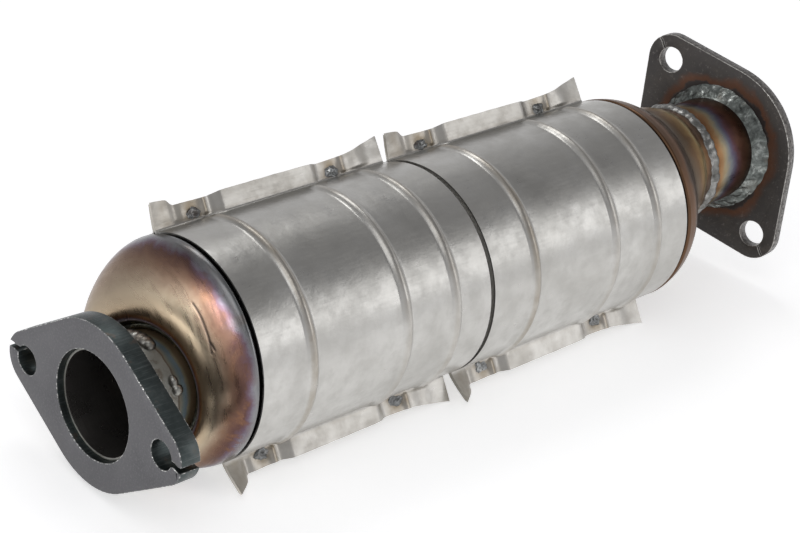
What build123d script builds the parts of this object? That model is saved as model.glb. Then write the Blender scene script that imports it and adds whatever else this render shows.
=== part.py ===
from build123d import *
from math import acos, asin, atan2, cos, degrees, radians, sin
import os

os.makedirs("parts", exist_ok=True)

# Every length is in millimetres and every angle in degrees.
# A clock is an angle about the body axis, from straight up towards +Y.

# Heat shields: two sections, each a near and a far half-shell
shell_od = 114.0
shield_wall = 0.9
section_length = 148.8
section_gap = 3.0
rib_places = (0.205, 0.615, 0.84)
rib_width = 7.5
rib_height = 1.6

# Seam flanges of the shields
tab_radius = 71.5
tail_length = 7.0
seam_fit = 0.1
seam_root = 0.5
fold_height = 0.8
far_flange_step = 0.8
upper_flare = 3.0
lower_flare = 6.0
lower_flare_drop = 2.0
nugget_places = (24.5, 114.0)
nugget_radius = 3.4
nugget_height = 1.7
nugget_lift = 4.2

# Can, bricks and the layers round them
can_od = 104.0
can_wall = 1.5
mat_thickness = 4.4
layer_fit = 0.05
end_gap = 3.5
skirt_length = 9.0
skirt_fit = 0.1
cone_wall = 1.6
shoulder_turn = 1.5
lap_weld = 2.5
brick_inset = 12.0
brick_gap = 24.0

# Inlet end
inlet_face_x = -55.6
inlet_drop = 12.7
inlet_drop_clock = 189.0
inlet_bore = 55.4
inlet_flange_thickness = 11.0
inlet_disc_radius = 42.7
inlet_lobe_radius = 14.6
inlet_bolt_spacing = 103.2
inlet_bolt_clock = 95.0
bolt_hole = 14.8
inlet_kerf = 3.0
inlet_kerf_bend = 1.0
plate_edge = 0.5
pipe_fit = 0.1
inlet_pipe_wall = 1.5
inlet_pipe_recess = 3.8
inlet_pipe_end = -4.0
mouth_x = -25.25
mouth_radius = 35.5
mouth_lean = 13.0
mouth_lean_clock = 120.0
groove_radius = 33.0
groove_depth = 5.0
groove_floor = 2.4
groove_edge = 1.8
dome_x_power = 1.05
dome_r_power = 1.2
inlet_weld_leg = 3.6

# Outlet end: the pipe leaves the cone along the axis and bends towards the flange
outlet_cone_reach = 46.0
neck_lift = 14.3
neck_lift_clock = -11.0
outlet_pipe_od = 60.2
outlet_pipe_wall = 1.6
outlet_bend_radius = 190.0
outlet_bend_angle = 10.9
outlet_bend_clock = 120.0
outlet_stub = 6.0
outlet_pipe_inset = 12.0
outlet_flange_thickness = 7.0
outlet_pipe_recess = 2.0
outlet_disc_radius = 50.0
outlet_lobe_radius = 14.9
outlet_bolt_spacing = 111.4
outlet_bolt_clock = 46.0
outlet_kerf = 0.7
outlet_kerf_bend = 0.5
cone_shoulder = 9.0
cone_shoulder_drop = 3.6
neck_collar = 6.0
neck_weld_radius = 3.3
outlet_weld_leg = 7.0

# Values that follow from the ones above
shell_radius = shell_od / 2
shield_inside = shell_radius - shield_wall
rib_crest = shell_radius + rib_height
body_length = 2 * section_length + section_gap
neck_x = body_length + outlet_cone_reach
can_radius = can_od / 2
can_inside = can_radius - can_wall
brick_radius = can_inside - mat_thickness
skirt_inside = can_radius + skirt_fit
skirt_outside = skirt_inside + cone_wall
inlet_bore_radius = inlet_bore / 2
inlet_pipe_radius = inlet_bore_radius - pipe_fit
groove_slope = (groove_radius - inlet_pipe_radius - groove_floor) / groove_depth
outlet_pipe_radius = outlet_pipe_od / 2
outlet_bore_radius = outlet_pipe_radius + pipe_fit

# The part rests on its lower ribs and on the tabs of the lower seam
seam_clock = degrees(acos(rib_crest / tab_radius))

# The body axis runs above the centre of the inlet bore, which is the origin
inlet_y = inlet_drop * sin(radians(inlet_drop_clock))
inlet_z = inlet_drop * cos(radians(inlet_drop_clock))
to_origin = Pos(-inlet_face_x, -inlet_y, -inlet_z)

# One pressed seam pattern: place along the section, offset of the seam at its
# root and at its edge (towards the near side), radius of the edge
front_tab = 13.0
front_pocket = 34.0
crown_start = 45.0
crown_end = 98.0
rear_pocket = 105.0
rear_tab = 122.0
crown_offset = 2.4
edge_radius = 67.3


def seam_pattern(flare, drop, tail):
    return [
        (0.0, seam_root, flare, tab_radius + drop),
        (front_tab, 0.0, 0.0, edge_radius),
        (front_pocket, 0.0, 0.0, edge_radius - 0.5),
        (crown_start, crown_offset, crown_offset, edge_radius + 0.5),
        (crown_end, crown_offset, crown_offset, edge_radius),
        (rear_pocket, 0.0, 0.0, edge_radius - 0.8),
        (rear_tab, 0.0, 0.0, edge_radius - 0.3),
        (section_length - tail_length, tail / 2, tail, tab_radius - 1.4),
        (section_length, tail / 2, tail, tab_radius),
    ]


upper_seam = seam_pattern(upper_flare, 0.0, -2.0)
lower_seam = seam_pattern(lower_flare, lower_flare_drop, 0.0)


def turned(points):
    """Solid of revolution about the body axis from (x, radius) points."""
    return revolve(make_face(Polyline(*points, close=True)), Axis.X)


def tube(x0, x1, inside, outside):
    return turned([(x0, inside), (x1, inside), (x1, outside), (x0, outside)])


def rod(x0, x1, radius):
    return turned([(x0, 0), (x1, 0), (x1, radius), (x0, radius)])


def clocked(part, clock):
    """Stand a part that was drawn flat up across the axis, at a clock."""
    return Rot(-clock, 0, 0) * Rot(0, 90, 0) * part


def rib_line(x, base, shrink):
    """Three arcs of one bead over a line at this radius, left to right."""
    half = rib_width / 2
    bend = (half * half + rib_height * rib_height) / (4 * rib_height)
    sweep_angle = degrees(asin(half / (2 * bend)))
    foot = bend + shrink
    crown = bend - shrink
    centre = base + foot
    top = base + rib_height - crown
    return [
        CenterArc((x - half, centre), foot, -90, sweep_angle),
        CenterArc((x, top), crown, 90 + sweep_angle, -2 * sweep_angle),
        CenterArc((x + half, centre), foot, -90 - sweep_angle, sweep_angle),
    ]


def ribbed_line(base, shrink):
    edges = []
    last = 0.0
    for place in rib_places:
        x = place * section_length
        edges.append(Line((last, base), (x - rib_width / 2, base)))
        edges.extend(rib_line(x, base, shrink))
        last = x + rib_width / 2
    edges.append(Line((last, base), (section_length, base)))
    return edges


def ribbed_shell():
    """A full ring of shield sheet with its three embossed beads."""
    outside = ribbed_line(shell_radius, 0.0)
    inside = ribbed_line(shield_inside, shield_wall)
    front = Line((0, shield_inside), (0, shell_radius))
    back = Line((section_length, shield_inside), (section_length, shell_radius))
    return revolve(make_face(outside + inside + [front, back]), Axis.X)


def through_stations(stations, corners):
    """Straight-sided solid through one polygon at each station."""
    wires = []
    for station in stations:
        points = [(station[0], y, z) for y, z in corners(station)]
        wires.append(Wire.make_polygon([Vector(*p) for p in points], close=True))
    return Solid.make_loft(wires, ruled=True)


def half_space(side):
    """Everything on one side of the pressed seams. side is 1 near, -1 far."""
    far = 1.3 * tab_radius
    pairs = zip(upper_seam, lower_seam)
    stations = [(up[0], up[1], low[1]) for up, low in pairs]

    def corners(station):
        up = -station[1] - side * seam_fit / 2
        low = -station[2] - side * seam_fit / 2
        out = -side * far
        cut = can_inside / 5
        return [(out, -far), (low, -far), (low, -cut), (up, cut), (up, far), (out, far)]

    return through_stations(stations, corners)


def seam_flange(stations, side, sign):
    """Flange of one half-shell. sign is 1 for the upper seam, -1 for the lower."""
    low_radius = shell_radius - shield_wall / 2
    step = 0.0 if side > 0 else far_flange_step

    def corners(station):
        x, root, edge, radius = station
        fold = shell_radius + fold_height
        share = (radius - step - fold) / (radius - fold)
        z0 = sign * low_radius
        z1 = sign * fold
        z2 = sign * (radius - step)
        y0 = -root - side * seam_fit / 2
        y2 = y0 - (edge - root) * share
        out = -side * shield_wall
        return [(y0, z0), (y0 + out, z0), (y0 + out, z1), (y2 + out, z2), (y2, z2), (y0, z1)]

    return through_stations(stations, corners)


def half_shield(side):
    shell = ribbed_shell() & half_space(side)
    upper = seam_flange(upper_seam, side, 1)
    lower = seam_flange(lower_seam, side, -1)
    return shell + upper + lower


def seam_welds(sign, shield):
    """Two weld nuggets in the pockets on the near side of one seam."""
    face_y = -shield_wall - seam_fit / 2
    reach = 3 * nugget_radius
    welds = []
    for x in nugget_places:
        z = sign * (shell_radius + nugget_lift)
        ball = Pos(x, face_y + nugget_radius - nugget_height, z) * Sphere(nugget_radius)
        keep = Pos(x, face_y - reach / 2, z) * Box(reach, reach, reach)
        weld = (ball & keep) - shield
        welds.append(weld.solid())
    return Compound(welds)


def plate(disc, lobe, spacing, thickness, bore, kerf, kerf_bend):
    """Two-bolt flange plate, drawn flat, slit from each bolt hole to its end."""
    offset_x = spacing / 2
    circles = [Circle(disc), Pos(offset_x, 0) * Circle(lobe), Pos(-offset_x, 0) * Circle(lobe)]
    outline = make_hull([edge for circle in circles for edge in circle.edges()])
    body = extrude(outline, thickness)
    rims = body.faces().filter_by(Axis.Z).edges()
    body = chamfer(rims, plate_edge)
    body -= Cylinder(bore / 2, 4 * thickness)
    end = offset_x + 1.2 * lobe
    middle = (offset_x + end) / 2
    for way in (1, -1):
        body -= Pos(way * offset_x, 0) * Cylinder(bolt_hole / 2, 4 * thickness)
        path = ThreePointArc((way * offset_x, 0), (way * middle, kerf_bend), (way * end, 0))
        body -= extrude(trace(path, kerf), thickness)
    return body


def inlet_flange():
    flat = plate(inlet_disc_radius, inlet_lobe_radius, inlet_bolt_spacing, inlet_flange_thickness,
                 inlet_bore, inlet_kerf, inlet_kerf_bend)
    return Pos(inlet_face_x, inlet_y, inlet_z) * clocked(flat, inlet_bolt_clock)


def on_inlet(part):
    """Move a part drawn about the X axis onto the axis of the inlet bore."""
    return Pos(0, inlet_y, inlet_z) * part


def inlet_pipe():
    start = inlet_face_x + inlet_pipe_recess
    inside = inlet_pipe_radius - inlet_pipe_wall
    return on_inlet(tube(start, inlet_pipe_end, inside, inlet_pipe_radius))


def fillet_bead(x, way, radius, leg, swell):
    """Round-faced fillet between a plate at x and a pipe of this radius."""
    foot = (x, radius + leg)
    toe = (x + way * leg, radius)
    half = leg / 2 + swell
    face = ThreePointArc(foot, (x + way * half, radius + half), toe)
    return revolve(make_face([face, Line(toe, (x, radius)), Line((x, radius), foot)]), Axis.X)


def inlet_flange_weld():
    back = inlet_face_x + inlet_flange_thickness
    return on_inlet(fillet_bead(back, 1, inlet_pipe_radius, inlet_weld_leg, 0.5))


def dome_point(angle, skin):
    """Point (x, radius) of the dome, moved inwards by this much skin."""
    def raw(turn):
        along = sin(radians(turn)) ** dome_x_power
        drop = 1 - cos(radians(turn)) ** dome_r_power
        x = -end_gap + (mouth_x + end_gap) * along
        return x, shell_radius + (mouth_radius - shell_radius) * drop
    x, radius = raw(angle)
    if angle == 0:
        return x, radius - skin
    if angle == 90:
        return x + skin, radius
    ahead = raw(angle + 0.1)
    behind = raw(angle - 0.1)
    slope = atan2(behind[1] - ahead[1], behind[0] - ahead[0])
    return x + skin * sin(slope), radius - skin * cos(slope)


def leaning(x, share, lean):
    """Frame with X leaning off the body's, its centre this share of the way to the bore axis."""
    place = Pos(x, inlet_y * share, inlet_z * share)
    return place * Rot(-mouth_lean_clock, 0, 0) * Rot(0, -lean, 0)


def dome_solid(skin):
    """Eccentric dome: rings that move from the body axis to the bore axis, leaning more and more."""
    flat = Plane((0, 0, 0), x_dir=(0, 1, 0), z_dir=(-1, 0, 0))
    rings = []
    for angle in (0, 22, 40, 55, 68, 79, 90):
        x, radius = dome_point(angle, skin)
        share = 1 - cos(radians(angle)) ** dome_r_power
        along = sin(radians(angle)) ** dome_x_power
        rings.append(leaning(x, share, mouth_lean * along) * (flat * Circle(radius)))
    return loft(rings)


def in_mouth(part):
    """Move a part drawn about the X axis, from x = 0 inwards, into the leaning mouth of the dome."""
    return leaning(mouth_x, 1.0, mouth_lean) * part


def groove(grow):
    """Tapered recess round the pipe in the mouth of the dome."""
    bottom = groove_depth + grow
    wide = groove_radius + grow + groove_slope
    narrow = groove_radius + grow - groove_slope * bottom
    return in_mouth(turned([(-1, 0), (bottom, 0), (bottom, narrow), (-1, wide)]))


def end_skirt(x, way):
    """Turned-in end of a cone: a step down from the shell size and a skirt on the can."""
    outer = shell_radius
    inner = outer - cone_wall
    step = x + way * (shoulder_turn + 0.2)
    end = x + way * skirt_length
    corner = ThreePointArc(
        (x, outer),
        (x + way * shoulder_turn * sin(radians(45)), outer - shoulder_turn * (1 - cos(radians(45)))),
        (x + way * shoulder_turn, outer - shoulder_turn),
    )
    points = [
        (x + way * shoulder_turn, outer - shoulder_turn),
        (step, skirt_outside),
        (end, skirt_outside),
        (end, skirt_inside),
        (step - way * cone_wall, skirt_inside),
        (x, inner),
        (x, outer),
    ]
    return revolve(make_face([corner, Polyline(*points)]), Axis.X)


def inlet_cone():
    outside = dome_solid(0.0) - groove(0.0)
    crest = outside.edges().filter_by(GeomType.CIRCLE)
    crest = crest.filter_by(lambda e: abs(e.radius - groove_radius) < 0.3)
    outside = fillet(crest, groove_edge)
    inside = dome_solid(cone_wall) - groove(cone_wall)
    hole = on_inlet(rod(mouth_x - groove_radius, 0, inlet_bore_radius))
    return outside - inside - hole + end_skirt(-end_gap, 1)


def inlet_neck_weld():
    """Bead that fills the bottom of the groove round the pipe."""
    floor = groove_depth - 0.05
    foot = (2.0, groove_radius - 2.0 * groove_slope - 0.1)
    root = (floor, inlet_pipe_radius + groove_floor - 0.1)
    toe = (2.2, inlet_pipe_radius - groove_floor)
    base = (floor, inlet_pipe_radius - groove_floor)
    face = ThreePointArc(toe, (1.6, inlet_pipe_radius + 1.0), foot)
    ring = revolve(make_face([face, Line(foot, root), Line(root, base), Line(base, toe)]), Axis.X)
    pipe = rod(inlet_face_x, 0, inlet_pipe_radius)
    return in_mouth(ring) - on_inlet(pipe)


def lap_bead(x, way):
    """Small bead where the end of a skirt meets the can."""
    points = [(x, can_radius), (x, skirt_outside - 0.1), (x + way * lap_weld, can_radius)]
    return turned(points)


def neck_frame():
    """Where the outlet pipe leaves the cone, with local Z on the side it bends to."""
    y = neck_lift * sin(radians(neck_lift_clock))
    z = neck_lift * cos(radians(neck_lift_clock))
    return Pos(neck_x, y, z) * Rot(-outlet_bend_clock, 0, 0)


def bend_path():
    """Centre line of the outlet pipe, in the neck frame: straight, bend, straight."""
    turn = radians(outlet_bend_angle)
    bend_x = outlet_bend_radius * sin(turn)
    bend_z = outlet_bend_radius * (1 - cos(turn))
    half_x = outlet_bend_radius * sin(turn / 2)
    half_z = outlet_bend_radius * (1 - cos(turn / 2))
    run = outlet_stub + outlet_flange_thickness - outlet_pipe_recess
    end_x = bend_x + run * cos(turn)
    end_z = bend_z + run * sin(turn)
    first = Line((-outlet_pipe_inset, 0, 0), (0, 0, 0))
    arc = ThreePointArc((0, 0, 0), (half_x, 0, half_z), (bend_x, 0, bend_z))
    last = Line((bend_x, 0, bend_z), (end_x, 0, end_z))
    return Wire([first.edge(), arc.edge(), last.edge()])


def outlet_frame():
    """Inlet side of the outlet flange, with local X along its bore."""
    turn = radians(outlet_bend_angle)
    x = outlet_bend_radius * sin(turn) + outlet_stub * cos(turn)
    z = outlet_bend_radius * (1 - cos(turn)) + outlet_stub * sin(turn)
    return neck_frame() * Pos(x, 0, z) * Rot(0, -outlet_bend_angle, 0)


def outlet_pipe():
    start = Plane((-outlet_pipe_inset, 0, 0), x_dir=(0, 1, 0), z_dir=(1, 0, 0))
    ring = Circle(outlet_pipe_radius) - Circle(outlet_pipe_radius - outlet_pipe_wall)
    return neck_frame() * sweep(start * ring, path=bend_path())


def outlet_flange():
    flat = plate(outlet_disc_radius, outlet_lobe_radius, outlet_bolt_spacing,
                 outlet_flange_thickness, 2 * outlet_bore_radius, outlet_kerf, outlet_kerf_bend)
    return outlet_frame() * clocked(flat, outlet_bolt_clock - outlet_bend_clock)


def outlet_flange_weld():
    return outlet_frame() * fillet_bead(0, -1, outlet_pipe_radius, outlet_weld_leg, 0.8)


def cone_solid(skin):
    """Short eccentric outlet cone with a round shoulder, ending in a collar."""
    frame = neck_frame().position
    start = body_length + end_gap
    collar = neck_x - neck_collar
    radius = outlet_bore_radius + cone_wall
    shoulder = start + cone_shoulder
    run = collar - shoulder
    rings = [
        (start, shell_radius, 0.0),
        (start + 0.6 * cone_shoulder, shell_radius - 0.4 * cone_shoulder_drop, 0.03),
        (shoulder + 0.07 * run, shell_radius - 1.4 * cone_shoulder_drop, 0.12),
        (shoulder + 0.36 * run, shell_radius - 4.2 * cone_shoulder_drop, 0.5),
        (collar - 0.18 * run, radius + 1.2 * neck_collar / 2, 0.88),
        (collar, radius, 1.0),
    ]
    faces = []
    for x, size, share in rings:
        centre = (x, frame.Y * share, frame.Z * share)
        faces.append(Plane(centre, x_dir=(0, 1, 0), z_dir=(1, 0, 0)) * Circle(size - skin))
    return loft(faces)


def outlet_cone():
    frame = neck_frame()
    place = Pos(0, frame.position.Y, frame.position.Z)
    collar_start = neck_x - neck_collar
    collar = tube(collar_start, neck_x, outlet_bore_radius, outlet_bore_radius + cone_wall)
    shell = cone_solid(0.0) - cone_solid(cone_wall)
    return shell + place * collar + end_skirt(body_length + end_gap, -1)


def outlet_neck_weld():
    """Proud bead over the end of the cone collar."""
    frame = neck_frame()
    place = Pos(0, frame.position.Y, frame.position.Z)
    centre = (neck_x + 0.6, outlet_pipe_radius + 0.9)
    disc = Pos(*centre) * Circle(neck_weld_radius)
    ring = revolve(disc, Axis.X)
    reach = 3 * neck_weld_radius
    inner = rod(neck_x - reach, neck_x + reach, outlet_pipe_radius)
    collar = rod(neck_x - reach, neck_x, outlet_bore_radius + cone_wall)
    bead = ring - inner - collar
    return place * bead - outlet_pipe()


def save(name, part):
    solids = part.solids()
    shape = solids[0] if len(solids) == 1 else Compound(list(solids))
    export_step(to_origin * shape, f"parts/{name}.step")


save("inlet_flange", inlet_flange())
save("inlet_pipe", inlet_pipe())
save("inlet_flange_weld", inlet_flange_weld())
save("inlet_neck_weld", inlet_neck_weld())
save("inlet_cone", inlet_cone())
save("outlet_cone", outlet_cone())
save("outlet_neck_weld", outlet_neck_weld())
save("outlet_pipe", outlet_pipe())
save("outlet_flange_weld", outlet_flange_weld())
save("outlet_flange", outlet_flange())

# The can and what it holds
can_start = -end_gap + shoulder_turn + 0.2
can_end = body_length - can_start
save("converter_can", tube(can_start, can_end, can_inside, can_radius))
save("inlet_can_weld", lap_bead(skirt_length - end_gap, 1))
save("outlet_can_weld", lap_bead(body_length + end_gap - skirt_length, -1))
middle = body_length / 2
for name, x0, x1 in (
    ("front", brick_inset, middle - brick_gap / 2),
    ("rear", middle + brick_gap / 2, body_length - brick_inset),
):
    save(f"{name}_brick", rod(x0, x1, brick_radius))
    save(f"{name}_mat", tube(x0, x1, brick_radius + layer_fit, can_inside - layer_fit))

# Shields, the blankets under them and the seam welds
near = half_shield(1)
far = half_shield(-1)
upper_welds = seam_welds(1, near)
lower_welds = seam_welds(-1, near)
blanket_start = skirt_length - end_gap + lap_weld + 0.5
for name, start in (("front", 0.0), ("rear", section_length + section_gap)):
    place = Pos(start, 0, 0) * Rot(-seam_clock, 0, 0)
    save(f"{name}_shield_near", place * near)
    save(f"{name}_shield_far", place * far)
    save(f"{name}_upper_seam_welds", place * upper_welds)
    save(f"{name}_lower_seam_welds", place * lower_welds)
x0 = blanket_start
x1 = section_length - 1.5
x2 = section_length + section_gap + 1.5
x3 = body_length - blanket_start
blanket_in = can_radius + layer_fit
blanket_out = shield_inside - layer_fit
save("front_insulation", tube(x0, x1, blanket_in, blanket_out))
save("rear_insulation", tube(x2, x3, blanket_in, blanket_out))
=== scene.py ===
import math

import bmesh
import bpy
import numpy as np
from mathutils import Matrix, Vector, noise
from mathutils.geometry import delaunay_2d_cdt


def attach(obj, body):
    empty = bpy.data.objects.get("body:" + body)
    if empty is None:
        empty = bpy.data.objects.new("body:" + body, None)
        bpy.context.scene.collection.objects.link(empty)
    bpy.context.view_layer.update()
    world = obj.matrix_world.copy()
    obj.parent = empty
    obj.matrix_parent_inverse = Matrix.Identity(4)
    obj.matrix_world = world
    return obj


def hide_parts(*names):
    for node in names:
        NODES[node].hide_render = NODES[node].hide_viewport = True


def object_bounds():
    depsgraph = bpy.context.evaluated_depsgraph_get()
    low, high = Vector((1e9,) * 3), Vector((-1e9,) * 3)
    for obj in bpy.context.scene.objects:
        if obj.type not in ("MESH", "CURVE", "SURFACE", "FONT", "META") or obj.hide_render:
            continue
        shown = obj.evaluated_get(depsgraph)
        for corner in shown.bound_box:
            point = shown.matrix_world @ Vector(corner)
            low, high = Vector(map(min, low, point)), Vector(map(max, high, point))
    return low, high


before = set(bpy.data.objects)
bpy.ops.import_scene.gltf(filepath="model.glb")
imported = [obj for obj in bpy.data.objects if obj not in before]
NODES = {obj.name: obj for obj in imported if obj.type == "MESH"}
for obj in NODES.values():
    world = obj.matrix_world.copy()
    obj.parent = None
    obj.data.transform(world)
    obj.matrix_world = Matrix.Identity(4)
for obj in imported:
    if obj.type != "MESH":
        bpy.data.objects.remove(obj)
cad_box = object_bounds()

MM = 0.001
AHEAD = Vector((1.0, 0.0, 0.0))

# The body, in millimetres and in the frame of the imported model: +X along the body, +Z up
AXIS_Y = 1.987
AXIS_Z = 12.544
SHELL = 57.0
SHEET = 0.9
SHEET_GAP = 0.05
SHEET_MIDDLE = SHELL - SHEET / 2
SECTION = 148.8
SECTION_STARTS = {"front": 55.6, "rear": 207.4}
BODY_END = 356.2
BRICK_FACES = {"front": 67.6, "rear": 344.2}
RIBS = (30.5, 91.5, 125.0)
RIB_WIDTH = 7.5
RIB_HEIGHT = 1.6
FOLD_RADIUS = 1.6
FAR_STEP = 0.8
SHELL_POINTS = 78

# Seams: stations along a section, then the offset at the root, the offset at the edge and the
# radius of the edge at each of them
SEAM_CLOCK = 34.957
SEAM_TURN = Matrix.Rotation(math.radians(-SEAM_CLOCK), 3, "X")
SEAM_X = (0.0, 9.5, 14.5, 34.5, 42.5, 98.5, 105.0, 122.0, 141.8, 148.8)
UPPER_SEAM = (
    (0.5, 0.2, 0.0, 0.0, 2.4, 2.4, 0.0, 0.0, -1.0, -1.0),
    (3.0, 1.0, 0.0, 0.0, 2.4, 2.4, 0.0, 0.0, -2.0, -2.0),
    (71.5, 70.6, 67.3, 66.8, 67.8, 67.3, 66.5, 67.0, 70.1, 71.48),
)
LOWER_SEAM = (
    (3.5, 1.2, 0.0, 0.0, 2.4, 2.4, 0.0, 0.0, 0.0, 0.0),
    (10.5, 4.0, 0.0, 0.0, 2.4, 2.4, 0.0, 0.0, 0.0, 0.0),
    (73.5, 70.3, 67.3, 66.8, 67.8, 67.3, 66.5, 67.0, 70.1, 71.5),
)

# What is pressed into the seam flanges: place along the section, height and width
CREASES = ((31.3, 1.15, 1.7), (120.6, 0.95, 1.7))
TAIL = (131.5, 1.1, 6.0)
VALLEY = (14.5, 0.8, 2.8)
DIMPLE_DEPTH = 0.85
DIMPLE_WIDTH = 4.6
STEPS_X = (14.0, 42.0, 99.0)
STAINED_CREASES = (31.8, 120.9)
NUGGETS = (24.5, 114.0)
NUGGET_HEIGHT = 60.1
NUGGET_SHARE = 0.3
NUGGET_SIZE = (5.3, 1.8, 3.7)
NUGGET_SINK = 0.45

# Inlet end: the dome, its leaning mouth with a lip and a groove, and the pipe through it
DOME_EDGE_X = 52.1
DOME_X_POWER = 1.05
DOME_R_POWER = 1.2
DOME_PROFILE = 34.0
MOUTH_X = 30.35
MOUTH_RADIUS = 35.5
MOUTH_LEAN = 13.0
MOUTH_CLOCK = 120.0
LIP = 1.0
LIP_WIDTH = 6.5
CREST = 1.8
CREST_RADIUS = 34.02
GROOVE_DEPTH = 5.0
GROOVE_SLOPE = 0.6
GROOVE_RADIUS = 33.0
CONE_WALL = 1.6
SHOULDER = 1.5
SKIRT_RADIUS = 53.65
SKIRT_INSIDE = 52.1
SKIRT_LENGTH = 9.0
INLET_PIPE = 27.6
INLET_PIPE_WALL = 1.5
INLET_PIPE_ENDS = (3.8, 51.6)
PIPE_HOLE = INLET_PIPE + 0.15
BOLT_HOLE = 7.4
INLET_PLATE = dict(
    disc=42.7, lobe=14.6, spacing=103.2, thickness=11.0, bore=27.7, clock=95.0, worn=0.38,
    slits=(dict(shift=3.3, width=3.0, wave=0.25), dict(shift=1.3, width=3.0, wave=0.5)),
)

# Drops on the inlet pipe: x, clock, size along x, round the pipe and outwards
BEAD_END = (
    (24.4, 34.0, 4.2, 4.0, 2.2), (25.0, 26.0, 4.4, 4.2, 2.5), (25.4, 18.0, 4.5, 4.0, 2.6),
    (25.8, 10.5, 4.5, 3.8, 2.8), (26.2, 3.5, 4.4, 3.6, 2.9), (26.6, -3.0, 4.2, 3.4, 2.9),
    (26.8, -8.5, 3.5, 3.0, 2.6),
)
LARGE_DROP = ((28.3, -52.0, 2.4, 3.2, 2.4), (29.0, -56.5, 1.5, 2.2, 1.6), (29.6, -61.0, 3.0, 2.8, 2.2))

# A forked scratch on the near side of the dome: lines of (millimetres from the outer edge, clock),
# and what a degree of clock counts for
SCRATCH = (
    ((19.7, -22.0), (20.5, -31.0), (21.9, -42.0), (22.7, -49.0), (24.0, -58.0)),
    ((22.7, -49.0), (22.2, -56.0)),
)
SCRATCH_DEGREE = 0.8
SCRATCH_WIDTH = 0.45

# Outlet end
NECK = Vector((402.2, -0.742, 26.581))
COLLAR = 6.0
OUTLET_PIPE = 30.1
OUTLET_PIPE_WALL = 1.6
OUTLET_PIPE_INSET = 12.0
OUTLET_PIPE_SEAT = 5.0
OUTLET_STUB = 6.0
BEND_RADIUS = 190.0
BEND_ANGLE = math.radians(10.9)
BEND_CLOCK = math.radians(120.0)
BEND_SIDE = Vector((0.0, math.sin(BEND_CLOCK), math.cos(BEND_CLOCK)))
BEND_ACROSS = Vector((0.0, math.cos(BEND_CLOCK), -math.sin(BEND_CLOCK)))
TINT_LENGTH = 38.0
OUTLET_PLATE = dict(
    disc=50.0, lobe=14.89, spacing=111.4, thickness=6.97, bore=30.2, clock=46.0, worn=0.4,
    slits=(dict(shift=0.0, width=0.7, wave=0.3), dict(shift=0.0, width=0.7, wave=0.3)),
)

# Welds: the fillet on the outlet plate, and the ring beads. A bead has the radius of its ring, a
# number of drops, their size along, across and outwards, their lean, how uneven they are and how
# far they wander, the voxel of the skin that fuses them, and the pipe that it lies on
FILLET_LEG = 7.0
FILLET_RIPPLES = 26
FILLET_SEED = 3.0
PRESSED_ON = 0.02
NECK_BEAD = dict(
    ring=31.0, drops=40, along=4.4, across=3.8, height=2.3, lean=0.2, uneven=0.7, wander=0.5,
    seed=4, voxel=0.42, pipe=OUTLET_PIPE, centre=(NECK.y, NECK.z), metal="neck_bead_metal",
)
FLANGE_BEAD = dict(
    ring=28.4, drops=24, along=4.8, across=2.0, height=2.7, lean=0.1, uneven=0.9, wander=0.4,
    seed=9, voxel=0.42, pipe=INLET_PIPE, centre=(0.0, 0.0), metal="inlet_bead_metal",
)
GROOVE_BEAD = dict(
    ring=29.3, drops=96, along=2.6, across=1.3, height=1.6, lean=0.1, uneven=0.35, wander=0.15,
    seed=12, voxel=0.36, pipe=INLET_PIPE, centre=(0.0, 0.0), metal="groove_bead_metal",
)

# Dark, middle and bright shade of each weld metal, and how rusty it is. The bright shade is partly a
# painted glint.
WELD_SHADES = {
    "nugget_metal": ((0.075, 0.075, 0.075), (0.24, 0.245, 0.245), (0.60, 0.61, 0.60), 0.2),
    "inlet_bead_metal": ((0.13, 0.125, 0.11), (0.34, 0.335, 0.31), (0.66, 0.65, 0.62), 0.3),
    "neck_bead_metal": ((0.11, 0.108, 0.10), (0.26, 0.258, 0.248), (0.50, 0.495, 0.48), 0.22),
    "groove_bead_metal": ((0.05, 0.06, 0.06), (0.14, 0.145, 0.12), (0.34, 0.31, 0.22), 0.3),
    "fillet_bead_metal": ((0.065, 0.07, 0.066), (0.17, 0.185, 0.175), (0.47, 0.49, 0.47), 0.15),
    "lap_bead_metal": ((0.06, 0.055, 0.05), (0.14, 0.13, 0.12), (0.30, 0.29, 0.28), 0.35),
}
RUST = (0.17, 0.085, 0.04)

# Floor, lamps and camera, in metres
FLOOR_Z = cad_box[0].z - 0.0002
FLOOR_REACH = 12.0
LAMP_TARGET = Vector((0.23, 0.0, 0.02))
CAMERA_PLACE = Vector((-0.55569, -0.67596, 0.60685))
CAMERA_AXES = Matrix((
    (0.724734, -0.672807, 0.148630),
    (0.252924, 0.460419, 0.850907),
    (-0.640929, -0.579090, 0.503851),
))
CAMERA_LENS = 102.66
CAMERA_SENSOR = 36.0


def smooth_step(value):
    t = min(1.0, max(0.0, value))
    return t * t * (3 - 2 * t)


def bell(distance, width, power=2):
    """1 at no distance, dying away over the width."""
    return math.exp(-((abs(distance) / width) ** power))


def eased(x, places, values):
    """Smooth curve through the values, flat where they are level and never past them."""
    places = np.array(places, float)
    values = np.array(values, float)
    gap = np.diff(places)
    rise = np.diff(values) / gap
    slope = np.zeros(len(places))
    for i in range(1, len(places) - 1):
        if rise[i - 1] * rise[i] > 0:
            slope[i] = 2 * rise[i - 1] * rise[i] / (rise[i - 1] + rise[i])
    slope[0] = rise[0]
    slope[-1] = rise[-1]
    i = np.clip(np.searchsorted(places, x) - 1, 0, len(gap) - 1)
    t = (x - places[i]) / gap[i]
    a = 2 * t**3 - 3 * t**2 + 1
    b = t**3 - 2 * t**2 + t
    c = -2 * t**3 + 3 * t**2
    d = t**3 - t**2
    return float(a * values[i] + b * gap[i] * slope[i] + c * values[i + 1] + d * gap[i] * slope[i + 1])


def add_object(name, data):
    made = bpy.data.objects.new(name, data)
    bpy.context.scene.collection.objects.link(made)
    return made


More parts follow.
